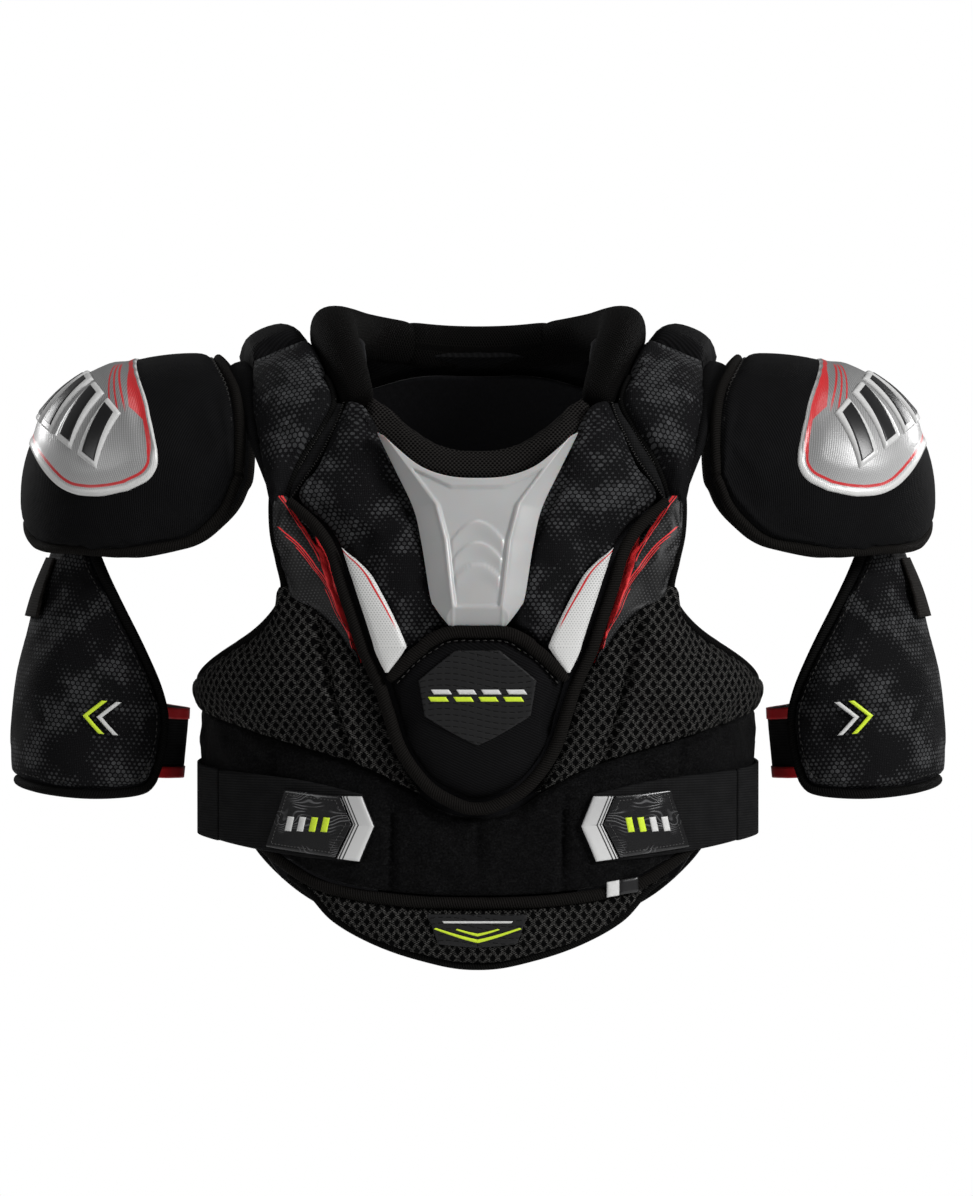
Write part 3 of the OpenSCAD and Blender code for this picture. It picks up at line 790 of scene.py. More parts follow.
def insert_material():
    """Moulded silver cap insert: fine twill, a paler rim, a red line inside it, and red streaks."""
    m = Paint("silver_insert", Roughness=0.36, Specular_IOR_Level=0.5, Coat_Weight=0.3, Coat_Roughness=0.2)
    uv = m.uv()
    x, y = m.split(uv)
    ends = abs(y)
    edge, inner = m.split(m.uv("share"))
    edge += m.between(inner, 10.0, 3.0, 0.0, 2.6)  # the rim is narrower beside the arch
    twill = m.ribs(uv, 1.4, 42) * (m.ribs(uv, 1.1, -48) * 0.5 + 0.5)
    dark = m.colour(twill, (0.15, 0.15, 0.15), (0.25, 0.25, 0.25))
    light = m.colour(twill, (0.34, 0.34, 0.34), (0.50, 0.50, 0.50))
    shade = m.between(x, 0.0, 58.0)
    rim = m.between(edge, 4.6, 3.6)
    silver = m.colour(rim, m.colour(shade, dark, light), (0.60, 0.60, 0.59))
    red = m.between(edge, 5.1, 5.4) * m.between(edge, 7.1, 6.8)
    growing = ends * 0.18 - 2.8
    closing = ends * -0.5 + 50
    wedge = m.between(lower(growing, closing) - inner, 0.0, 0.3) * m.between(edge, 6.0, 6.2)
    red = higher(red, wedge)
    for start, slant, wide in ((9.2, 0.10, 0.45), (11.0, 0.16, 0.40), (12.8, 0.22, 0.35)):
        middle = (ends - 34.0) * slant + start
        off = abs(middle - inner)
        streak = m.between(off, wide + 0.25, wide) * m.between(ends, 26.0, 34.0)
        red = higher(red, streak * m.between(ends, 80.0, 72.0))
    m.base(m.colour(red, silver, RED))
    m.bump(m.noise(uv, 0.4, 3.0, 0.7), 0.25, 0.4)
    m.bump(twill, 0.18, 0.5)
    return m.material


def plate_material():
    """Milky grey moulded plastic with a faint grain on its flanks."""
    m = Paint(
        "sternum_plastic", Roughness=0.33, Specular_IOR_Level=0.5, Subsurface_Weight=0.25,
        Subsurface_Scale=0.004, Coat_Weight=0.15, Coat_Roughness=0.2,
    )
    uv = m.uv()
    cloud = m.noise(uv, 0.03, 2.0)
    m.base(m.colour(cloud, (0.36, 0.36, 0.36), (0.47, 0.47, 0.468)))
    m.bump(m.noise(uv, 1.2, 2.0), 0.08, 0.4)
    return m.material


def film_material():
    """White printed film with fine grey dots, and a thin red line inside its inner edge."""
    m = Paint("silver_film", Roughness=0.42, Specular_IOR_Level=0.4)
    uv = m.uv()
    from_inner, v = m.split(m.uv("share"))
    size = m.between(v, 0.2, 1.0, 0.20, 0.42)
    dot = m.between(size - m.dots(uv, 1.5), 0.0, 0.08)
    ground = m.colour(dot, WHITE, (0.36, 0.36, 0.355))
    off = abs(from_inner - 2.4)
    line = m.between(off, 0.62, 0.45) * m.between(v, 0.44, 0.48)
    m.base(m.colour(line, ground, RED))
    m.bump(m.dots(uv, 1.5), 0.12, 0.6)
    return m.material


def flash_material():
    """Dark dotted panel with a red wedge beside the piping and thin red stripes that sweep out of it, in a
    red brightened as painted light against the piping's shade.
    """
    m = fabric("flash_fabric", Roughness=0.5, Specular_IOR_Level=0.3)
    uv = m.uv()
    inner, v = m.split(m.uv("share"))
    dot = m.between(m.dots(uv, 1.9), 0.27, 0.17)
    ground = m.colour(dot * m.between(m.noise(uv, 0.08), 0.35, 0.65, 0.3, 1.0), BLACK, (0.055, 0.055, 0.057))
    wedge = abs(v - 0.40) * -16.0 + 6.4 - inner
    stripes = m.between(wedge, 0.0, 0.3)
    sweeps = ((2.6, 0.0, 0.5, 1.0, 0.55), (5.0, 0.0, 0.55, 1.0, 0.4), (5.2, 52.0, 0.40, 0.72, 0.75),
              (5.2, 52.0, 0.34, 0.64, 0.45), (5.2, 52.0, 0.29, 0.55, 0.35), (3.8, 40.0, 0.14, 0.34, 0.6))
    for start, slant, v_low, v_high, wide in sweeps:
        middle = (v - v_low) * slant + start
        off = abs(middle - inner)
        line = m.between(off, wide + 0.25, wide) * m.between(v, v_low - 0.01, v_low)
        stripes = higher(stripes, line * m.between(v, v_high + 0.01, v_high))
    # painted light: the wedge and stripes take the brightened red, against the piping's shade
    m.base(m.colour(stripes, ground, RED_LIFTED_AS_PAINTED_LIGHT))
    m.bump(dot, 0.2, 0.5)
    m.bump(m.noise(uv, 0.05, 2.0), 0.7, 0.5)
    return m.material


def patch_material():
    """Charcoal rubberised patch with wavy rows of short dashes."""
    m = Paint("label_rubber", Roughness=0.5, Specular_IOR_Level=0.2)
    uv = m.uv()
    x, y = m.split(uv)
    sway = sine(x * 0.09) * 3.0
    rows = sine((y + sway) * (2 * np.pi / 3.6))
    gaps = sine(x * (2 * np.pi / 4.2))
    dash = m.between(rows, 0.6, 0.85) * m.between(gaps, -0.6, -0.4)
    m.base(m.colour(dash, (0.0105, 0.0105, 0.0110), (0.0010, 0.0010, 0.0011)))
    m.bump(dash, -0.3, 0.7)
    return m.material


def gloss_label_material():
    """Glossy black label with drifts of faint grey contour lines."""
    m = Paint("gloss_label", Roughness=0.24, Specular_IOR_Level=0.5)
    uv = m.uv()
    _, y = m.split(uv)
    contour = sine((y + m.noise(uv, 0.05, 1.0) * 26.0) * (2 * np.pi / 1.9))
    lines = m.between(contour, 0.5, 0.95) * m.between(m.noise(uv, 0.07, 1.0), 0.50, 0.62)
    m.base(m.colour(lines, (0.0055, 0.0055, 0.006), (0.085, 0.085, 0.088)))
    m.bump(lines, 0.1, 0.4)
    return m.material


def tip_material():
    """Silver strap tip with thin black lines along its inner side."""
    m = Paint("tip_print", Roughness=0.35, Specular_IOR_Level=0.45)
    uv = m.uv()
    u, v = m.split(m.uv("share"))
    lines = m.between(abs(u - 0.92), 0.045, 0.03)
    for at, wide in ((0.80, 0.022), (0.70, 0.016), (0.61, 0.010)):
        lines = higher(lines, m.between(abs(u - at), wide + 0.012, wide))
    silver = m.colour(m.between(v, 0.0, 1.0), (0.62, 0.62, 0.615), (0.42, 0.42, 0.42))
    m.base(m.colour(lines, silver, (0.01, 0.01, 0.01)))
    m.bump(m.noise(uv, 1.2, 2.0), 0.06, 0.5)
    return m.material


def plain_print(name, colour, rough=0.45, grain=0.06):
    """Printed or rubbery colour with a faint grain."""
    m = Paint(name, Roughness=rough, Specular_IOR_Level=0.4)
    uv = m.uv()
    dark = tuple(c * 0.8 for c in colour)
    light = tuple(min(1, c * 1.12) for c in colour)
    m.base(m.colour(m.noise(uv, 0.7, 3.0), dark, light))
    m.bump(m.noise(uv, 1.4, 2.0), grain, 0.5)
    return m.material


def thread_material():
    """Dark brown thread, lighter and darker along its length."""
    m = Paint("thread", Roughness=0.6, Specular_IOR_Level=0.3)
    grain = m.local()
    m.base(m.colour(m.noise(grain, 900.0, 2.0), (0.010, 0.0097, 0.0092), (0.034, 0.032, 0.030)))
    return m.material


def spine_material():
    """Black moulded plastic with a faint grain."""
    m = Paint("spine_plastic", Roughness=0.42, Specular_IOR_Level=0.45)
    uv = m.uv()
    m.base(m.colour(m.noise(uv, 0.06, 3.0), (0.012, 0.012, 0.013), (0.022, 0.022, 0.023)))
    m.bump(m.noise(uv, 1.6, 3.0), 0.1, 0.6)
    return m.material


KNIT = knit_material()
PRINT = print_material()
MESH = mesh_material()
NECK_MESH = small_mesh_material("neck_mesh", (0.021, 0.0195, 0.0185))
COLLAR_MESH = small_mesh_material("collar_mesh", (0.0052, 0.0048, 0.0045))
PILE = pile_material()
LINER = liner_material()
TAPE = tape_material("binding", BROWN_BLACK)
EDGE = tape_material("dark_edge", (0.0050, 0.0049, 0.0048))
ELASTIC = elastic_material("elastic", (0.0032, 0.0032, 0.0034), (0.017, 0.017, 0.0175))
WEBBING = elastic_material("webbing", (0.0035, 0.0032, 0.0030), (0.0185, 0.0165, 0.0150))
INSERT = insert_material()
PLATE = plate_material()
SPINE = spine_material()
FILM = film_material()
FLASH = flash_material()
TIP = tip_material()
PATCH = patch_material()
GLOSS = gloss_label_material()
THREAD = thread_material()
GREY_THREAD = plain_print("grey_thread", (0.055, 0.054, 0.053), 0.6)
BLACK_PRINT = plain_print("black_print", (0.010, 0.010, 0.0105), 0.3)
WHITE_PRINT = plain_print("white_print", WHITE)
SILVER_PRINT = plain_print("silver_print", (0.56, 0.56, 0.555), 0.3)
LIME_PRINT = plain_print("lime_print", LIME)
RED_TAPE = plain_print("red_tape", RED)

# ---- putting pieces in place ----


def place(obj, body, material, nodes=()):
    """Gives a piece its material, rides it on its body and hides the CAD nodes it stands for."""
    obj.data.materials.clear()
    obj.data.materials.append(material)
    if nodes:
        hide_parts(*nodes)
    if body:
        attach(obj, body)
    return obj


def mirror_of(obj, name):
    """The same piece on the wearer's right."""
    copy = bpy.data.objects.new(name, obj.data.copy())
    mesh = copy.data
    n = len(mesh.vertices)
    points = np.empty(n * 3)
    mesh.vertices.foreach_get("co", points)
    points[::3] *= -1
    mesh.vertices.foreach_set("co", points)
    mesh.flip_normals()
    mesh.update()
    bpy.context.collection.objects.link(copy)
    return copy


def pair(obj, body, material, node=None):
    """A piece and its mirror image.

    {} in body stands for left or right, and node is a CAD node's name without its side.
    """
    base = obj.name
    other = mirror_of(obj, base + "_right")
    obj.name = base + "_left"
    for piece, side in ((obj, "left"), (other, "right")):
        nodes = (f"{node}_{side}",) if node else ()
        place(piece, body.format(side) if body else None, material, nodes)
    return obj, other


def side_edges(low, high, near, far):
    """The four edges of a piece beside the middle of the chest."""
    return [on_front(e) for e in (low, high, near, far)]


def front_edges(low, high, side):
    """The four edges of a piece across the middle of the chest."""
    return side_edges(both_sides(low), both_sides(high), mirrored(side), side)


def back_edges(low, high, side):
    """The four edges of a piece across the spine."""
    low, high = (both_sides(line)[::-1] for line in (low, high))
    return [on_back(e) for e in (low, high, side, mirrored(side))]


# ---- how high things lie over a surface, in mm ----

LINER_H, LINER_T = -4.2, 4.0
BASE = 4.5  # the outer pads start here
BELLY_SEAM_H, BELLY_RIM_H, PATCH_H, MARK_H = 19.3, 19.5, 21.8, 23.7
PLATE_H, FILM_H = BASE + 14.6, BASE + 15.2
TAG_H, EXTENSION_LABEL_H, EXTENSION_MARK_H = 11.0, 12.4, 13.2
BLOCK_H, FACE_H = 4.0, 6.5
GUARD_H, GUARD_MARK_H = 3.6, 12.2

# ---- outlines, as (x, z) on the torso ----

PIPING = [
    (0, -229), (12, -226), (27, -216), (40, -197), (47, -175), (52, -159),
    (61, -137), (70, -110), (76, -91), (85, -77), (99, -64),
]
PIPING_R = 3
INSIDE, OUTSIDE = beside(PIPING, PIPING_R + 1.2), beside(PIPING, -PIPING_R - 1.2)
SHIELD_LOW = [(0, -131), (17, -132), (32, -141), INSIDE[5]]
NECKLINE = [(0, -56.5), (19, -55), (32, -50), (46, -39), (60, -15), (70, -8)]
BAND_TOP = [(0, -235), (22, -230), (37, -220), (60, -207.5), (88, -198.5), (128, -185.5), (149, -176)]
BAND_LOW = [(0, -278), (45, -276), (79, -270), (99, -260.5), (112, -250.5), (128, -242), (145, -238)]
PANEL_LOW = [(31, -222), (50, -212), (62, -206.5), (88, -198), (128, -185.5), (149.5, -177)]
ARMHOLE = [(103, -111), (110, -125), (124, -138), (142, -151), (150, -160)]
HEM_LOW = [(0, -286), (45, -284), (81, -277.5), (103, -268), (112, -263)]

# ---- chest ----


def chest():
    """The padded shield, the belly pad with its patch, and the rolled piping round both."""
    side = INSIDE[5:] + [(86, -44), (77.5, -25), (70, -8)]
    crease = [(16, -126), (27, -88), (44, -52)]
    creases = [(on_front(line), 5, 0.25) for line in (crease, mirrored(crease))]
    edges = front_edges(SHIELD_LOW, NECKLINE, side)
    shield = pad("chest_shield", torso, edges, BASE, (11, 14.5), seams=creases, puff=(3, 2.5))
    place(shield, "torso", PRINT, ["chest_shield"])

    low = INSIDE[:4]
    high = [(x, z - 1.5) for x, z in SHIELD_LOW[:3]] + [(INSIDE[5][0] - 1, INSIDE[5][1] - 2)]
    edges = front_edges(low, high, [low[3], INSIDE[4], high[3]])
    belly = pad("belly_pad", torso, edges, BASE, (11, 18), round_mm=10, puff=(3, 1.5))
    place(belly, "torso", KNIT, ["belly_pad"])
    rim = on_front(both_sides([(0, -133), (17, -134), (32, -143), (46, -158)]))
    place(binding("belly_binding", torso, rim, BELLY_RIM_H, 3.6, 2.4, ends=0.6), "torso", TAPE)
    seam = on_front(both_sides([(0, -137.5), (16, -138.5), (29.5, -146.5), (41, -159)]))
    place(stitches("belly_stitches", torso, seam, BELLY_SEAM_H), "torso", THREAD)

    side = [(27.5, -177.5), (30.5, -158), (11.5, -141.5)]
    edges = front_edges([(0, -193.5), side[0]], [(0, -141.5), side[2]], side)
    base = Patch(torso, sharp(edges), 1.3)
    patch = solid("belly_patch", base, PATCH_H, PATCH_H + 0.8 + 1.2 * rounded(base, 1.2))
    place(patch, "torso", PATCH, ["belly_patch"])

    for label, paint, shift, z in (("lime", LIME_PRINT, 0, -169.5), ("white", WHITE_PRINT, 1.5, -165.5)):
        for i, middle in enumerate((-19.5, -6.5, 6.5, 19.5)):
            foot = [(middle - 4.6 + shift, z), (middle + 4.6 + shift, z)]
            head = [(middle - 6.2 + shift, z + 2.6), (middle + 3.0 + shift, z + 2.6)]
            edges = side_edges(*stacked(foot, head))
            mark = thin(f"belly_mark_{label}_{i + 1}", torso, edges, MARK_H, 0.6, 0.9, 0.4)
            place(mark, "torso", paint)

    line = on_front(both_sides(PIPING))
    roll = binding("shield_piping", torso, line, BASE + 11.5, 3.6, 3.6, spacing=1.6, ends=0.7)
    place(roll, "torso", TAPE, ["shield_piping"])


def thin(name, surface, edges, height, thick, spacing=1.6, round_mm=1.0, share=None):
    """A thin printed or moulded layer."""
    patch = Patch(surface, edges, spacing)
    return solid(name, patch, height, height + thick * mix(0.3, 1, rounded(patch, round_mm)), share)


PLATE_OUTLINE = [(15, -130), (22, -121), (25, -114), (29.5, -88), (34, -70), (44, -50), (54, -31)]
PLATE_RIDGE = [(13, -130), (13, -121), (14, -110), (17, -88), (22, -72), (38, -52), (53.5, -31)]


def sternum():
    """The moulded plate: bevelled flanks, a sunk middle with arch steps, and two horns."""
    side = PLATE_OUTLINE
    top = [(0, -55.5), (17, -54.3), (31, -49.5), (44, -40), side[-1]]
    patch = Patch(torso, front_edges([(0, -130), side[0]], top, side), 0.9)
    levels = [z for _, z in PLATE_OUTLINE]
    outer = np.interp(patch.z, levels, [x for x, _ in PLATE_OUTLINE])
    ridge = np.interp(patch.z, levels, [x for x, _ in PLATE_RIDGE])
    x = np.abs(patch.x)
    flank = np.clip((outer - x) / np.maximum(outer - ridge, 0.5), 0, 1)
    foot = np.clip((patch.z + 130) / 9, 0, 1)
    height = 0.8 + 8.8 * np.minimum(flank**0.9, foot)
    inner = smooth((ridge - 1.2 - x) / 1.3) * smooth((patch.z + 121.0) / 1.2)
    height -= 1.5 * inner
    band = smooth((patch.z + 62 - 0.45 * np.maximum(0, x - 14)) / 1.0)
    height += 1.5 * band * inner
    lip = np.exp(-(((x - ridge) / 0.9) ** 2)) * smooth((-66 - patch.z) / 4)
    height += 0.5 * lip
    between_ridges = smooth((ridge - 2.5 - x) / 1.5)
    for step in (-78, -88.5, -99):
        arch = patch.z - step + 0.05 * x**2
        height += inner * smooth(-arch / 0.7) * smooth((arch + 10) / 9) * between_ridges
    height *= mix(0.35, 1, smooth(patch.from_high / 2.2))
    plate = solid("sternum_plate", patch, PLATE_H, PLATE_H + height)
    place(plate, "torso", PLATE, ["sternum_plate"])


def from_near_mm(patch):
    """How far in mm each point is from the near edge, and its share of the way up."""
    return np.stack([patch.from_near, patch.v], axis=-1)


def accents():
    """The silver tabs, the flash panels and the mesh side panels."""
    near = [(46, -154), (38, -142), (38, -137), (50, -112), (57, -101), (69, -90)]
    far = [(47.5, -154), (53, -141), (60, -119), (65, -104), (70, -89)]
    edges = side_edges(*flanked(near, far))
    tab = thin("accent_tab", torso, edges, FILM_H, 1.3, 1.0, share=from_near_mm)
    pair(tab, "torso", FILM, "accent_tab")

    near = [(59, -155)] + OUTSIDE[6:10] + [(103, -58)]
    far = [(99, -114), (105, -93), (109, -79), (111, -58)]
    edges = side_edges([near[0], (78, -129), far[0]], [near[5], far[3]], near, far)
    flash = pad("flash_panel", torso, edges, BASE, (9, 12), 1.8, 4, puff=(3, 1.5), share=from_near_mm)
    pair(flash, "torso", FLASH, "flash_panel")

    near = [PANEL_LOW[0]] + OUTSIDE[3:6] + [(59, -151)]
    high = [near[4], (80, -124), (104, -106)] + ARMHOLE[1:]
    edges = side_edges(PANEL_LOW, high, near, [PANEL_LOW[5], (150.5, -168), ARMHOLE[4]])
    quilt = (on_front([(84, -128), (77, -160), (66, -206)]), 2.6, 0.5)
    mesh = pad("side_panel", torso, edges, BASE, (8, 13), round_mm=5, seams=[quilt], puff=(3, 2), uneven=0.6)
    pair(mesh, "torso", MESH, "side_panel")
    line = on_front([(111, -58), (109.5, -79), (106, -94), (103, -111)] + ARMHOLE[1:])
    trim = binding("armhole_binding", torso, line, BASE + 3.4, 2.6, 3.6, ends=0.8)
    pair(trim, "torso", EDGE)


def waist():
    """The quilted band and its hem, the extension pad with its label, and the size tag."""
    edges = front_edges(BAND_LOW, BAND_TOP, [BAND_LOW[6], (149, -210), BAND_TOP[6]])
    lines = [[(x, -232), (x, -282)] for x in (-46, 0, 46)]
    lines += [[(x, -190), (x - 5 * np.sign(x), -266)] for x in (-109, 109)]
    quilts = [(on_front(q), 2.2, 0.6) for q in lines]
    band = pad("landing_band", torso, edges, BASE, (5, 7.5), 2.0, 3, quilts, puff=(2, 0.8), uneven=0.8)
    place(band, "torso", PILE, ["landing_band"])
    line = both_sides([(0, -282), (45, -280.2), (81, -274), (101, -263.5), (113, -254), (122, -245)])
    hem = binding("band_hem", torso, on_front(line), BASE + 3.2, 3.4, 2.6, ends=0.7)
    place(hem, "torso", TAPE, ["band_hem"])

    high = [(x, z + 1.0) for x, z in HEM_LOW[:4]]
    side = [(78, -290), (90, -276), high[3]]
    edges = front_edges([(0, -316), (31, -311), (57, -302), side[0]], high, side)
    crescent = pad("extension_pad", torso, edges, 3.4, (5, 8.5), round_mm=5, puff=(2, 1.2))
    place(crescent, "extension", MESH, ["extension_pad"])
    line = both_sides([(0, -317), (31, -312), (57, -303), (78, -291), (91, -277), (103, -268)])
    rim = binding("extension_binding", torso, on_front(line), 4.6, 2.4, 2.6, ends=0.7)
    place(rim, "extension", EDGE)
    side = [(50, -300), (56, -270), (54, -236)]
    edges = front_edges([(0, -306), side[0]], [(0, -236), side[2]], side)
    tongue = thin("extension_tongue", torso, edges, 0.7, 1.8, 3)
    place(tongue, "extension", PILE, ["extension_tongue"])
    outline = front_edges([(0, -306), (21, -304)], [(0, -287.5), (27, -287.5)], [(21, -304), (27, -287.5)])
    label = thin("extension_label", torso, sharp(outline), EXTENSION_LABEL_H, 1.0)
    place(label, "extension", PATCH)
    edges = front_edges(
        [(0, -292.4), (18, -292.4)], [(0, -291.2), (19, -291.2)], [(18, -292.4), (19, -291.2)],
    )
    bar = thin("extension_bar", torso, edges, EXTENSION_MARK_H, 0.5, 1.2, 0.3)
    place(bar, "extension", WHITE_PRINT)
    chevrons = ((23.5, -303.2, -295.6, 1.5), (12, -299.6, -296.0, 1.2))
    for i, (half, foot, head, thick) in enumerate(chevrons):
        low = straight(on_front(both_sides([(0, foot), (half, head)])))
        high = straight(on_front(both_sides([(0, foot + thick * 1.3), (half - 1, head + thick * 0.5)])))
        edges = stacked(low, high)
        mark = thin(f"extension_chevron_{i + 1}", torso, edges, EXTENSION_MARK_H, 0.5, 0.8, 0.3)
        place(mark, "extension", LIME_PRINT)
    for label, paint, left, right in (("pale", WHITE_PRINT, 68.5, 75), ("dark", BLACK_PRINT, 75.2, 85)):
        low, high = ([(x, z + 0.17 * (x - 68)) for x in (left, right)] for z in (-279, -270.5))
        tag = thin(f"size_tag_{label}", torso, side_edges(*stacked(low, high)), TAG_H, 0.8, 1.2, 0.6)
        place(tag, "torso", paint)


# ---- neck and shoulders ----

COLLAR = [
    (66, -84, -6), (72, -66, 11), (79, -44, 27), (83, -16, 38), (80, 14, 41), (66, 40, 39), (42, 57, 36),
]
COLLAR_R = [8.5, 10.5, 12.5, 13.5, 13.2, 12.6, 12]


def free_tube(name, line, radii, steps, squash=1.0, ends=(0.35, 0.35), flat=1.0):
    """A stuffed roll along points in space, drawn in at each end to that share of its size."""
    p = along(line, np.linspace(0, 1, steps))
    r = along(np.asarray(radii, float)[:, None], np.linspace(0, 1, steps))[:, 0]
    t = np.gradient(p, axis=0)
    t /= np.linalg.norm(t, axis=1)[:, None]
    n = np.array([0, 0, 1.0]) - t[:, 2:3] * t
    n /= np.linalg.norm(n, axis=1)[:, None]
    run = np.concatenate([[0], np.cumsum(np.linalg.norm(np.diff(p, axis=0), axis=1))])
    for share, end in zip(ends, (run, run[-1] - run)):
        r = r * mix(share, 1, np.sqrt(1 - (1 - np.clip(end / 7, 0, 1)) ** 2))
    return tube(name, p, t, n, run, r, r * squash, 32, flat=flat)


def neck():
    """The band at the front of the neck and the collar roll round the rest of it."""
    side = [(66, -18), (60, -3)]
    low = [(0, -55), (20, -53.5), (33, -48.5), (47, -37), side[0]]
    high = [(0, -34), (20, -31), (38, -20), (50, -10), side[1]]
    band = pad("neck_band", torso, front_edges(low, high, side), 2.5, (5, 10), 1.5, 7, puff=(2, 1.5))
    place(band, "torso", NECK_MESH, ["neck_band"])
    roll = free_tube("collar", COLLAR, COLLAR_R, 80, 1.08, (0.5, 0.86), 0.85)
    pair(roll, "torso", COLLAR_MESH, "collar")
    line = [(-43, 56.4, 35.9), (-22, 66, 34.5), (0, 69, 34), (22, 66, 34.5), (43, 56.4, 35.9)]
    back = free_tube("collar_back", line, [12.2] * 5, 60, 1.08, (0.86, 0.86), 0.85)
    place(back, "torso", COLLAR_MESH, ["collar_back"])


def shoulders():
    """The arch and its pads, the strip that holds it down, and the shoulder bridge."""
    near = on_arch([(105, -66), (98, -42), (94, -20), (96, 5)]) + [(98, 90), (96, 120), (90, 146)]
    far = on_arch([(111, -66), (118, -34), (123, -11)]) + [(126, 90), (122, 120), (112, 146)]
    base = pad("arch_base", shoulder, flanked(near, far), 0.5, (5, 7.5), round_mm=4)
    pair(base, "torso", KNIT, "arch_base")
    pair(binding("arch_edge", shoulder, far, 4.2, 2.6, 3.4, ends=0.8), "torso", EDGE)

    near = on_arch([(105, -66), (97, -43), (86, -25), (78.5, -10), (83, 5), (91, 23)])
    far = on_arch([(111.5, -66), (118.5, -34), (124, -11), (124.5, 10)])
    panel = pad("arch_panel", shoulder, flanked(near, far), 6, (8, 13), round_mm=5, puff=(3, 2))
    pair(panel, "torso", PRINT, "arch_panel")
    trim = binding("arch_binding", shoulder, near[:5], 8.5, 2.2, 2.4, ends=0.6)
    pair(trim, "torso", EDGE)

    near = [(96, 76), (96, 97), (98, 116)]
    far = [(125, 73), (134, 95), (126, 116)]
    dome = pad("arch_pad", shoulder, flanked(near, far), 6.5, (10, 16.5), round_mm=8, puff=(3, 1.5))
    pair(dome, "torso", KNIT, "arch_pad")

    low = [(104, -69), (99, -61), (85, -41), (76, -23), (71, -9)]
    high = [(109, -65), (105.5, -58), (96.5, -42), (86, -25), (78, -8)]
    strip = pad("arch_strip", torso, side_edges(*flanked(low, high)), 1, (7.5, 9), 1.6, 2)
    pair(strip, "torso", ELASTIC, "arch_strip")
    for label, line in (("low", low), ("high", high)):
        centre = (np.array(low) + np.array(high)) / 2
        inner = [tuple(q) for q in mix(np.array(line), centre, 0.3)]
        seam = stitches(f"strip_stitches_{label}", torso, on_front(inner), 9.8, 1.5, 1.6, 0.3, 1.1)
        pair(seam, "torso", THREAD)

    near = on_arch([(111, -52), (119, -16)]) + [(124, 90), (120, 122)]
    far = on_arch([(117, -54), (134, -14)]) + [(149, 90), (138, 122)]
    bridge = pad("shoulder_bridge", shoulder, flanked(near, far), 0.5, (5, 11), 2.2, 7)
    left, right = pair(bridge, None, KNIT, "shoulder_bridge")
    for piece, side, x in ((left, "left", 1), (right, "right", -1)):
        0.131 * x
        0.145 * x
        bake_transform(piece)

    near = [(62, 50), (64, 70), (70, 90), (68, 118), (62, 140)]
    far = on_arch([(97, -50)]) + [(100, 60), (104, 90), (102, 120), (98, 142)]
    yoke = thin("shoulder_liner", shoulder, flanked(near, far), -3.2, 3.0, 4, 3)
    pair(yoke, "torso", LINER)


# ---- caps ----

CAP_INNER = [
    (-23, -86), (-33, -72), (-40, -53), (-41, -30), (-41, 0), (-41, 30), (-39, 52), (-32, 70), (-22, 83),
]
CAP_OUTER = [(52, -56), (58, -27), (53, 0), (58, 27), (52, 55)]
CAP_FRONT = [CAP_INNER[0], (-3, -95), (24, -92), (44, -73), CAP_OUTER[0]]
CAP_BACK = [CAP_INNER[8], (-3, 91), (24, 88), (44, 71), CAP_OUTER[4]]


def loop_of(edges, inset=0.0, centre=(6, -2)):
    """One closed line round four edges, drawn in towards the middle by a share."""
    low, high, near, far = [along(e, np.linspace(0, 1, 12)) for e in edges]
    ring = np.concatenate([low, far[1:], high[-2::-1], near[-2:0:-1], low[:1]])
    ring = ring + (np.asarray(centre) - ring) * inset
    return [tuple(q) for q in ring]


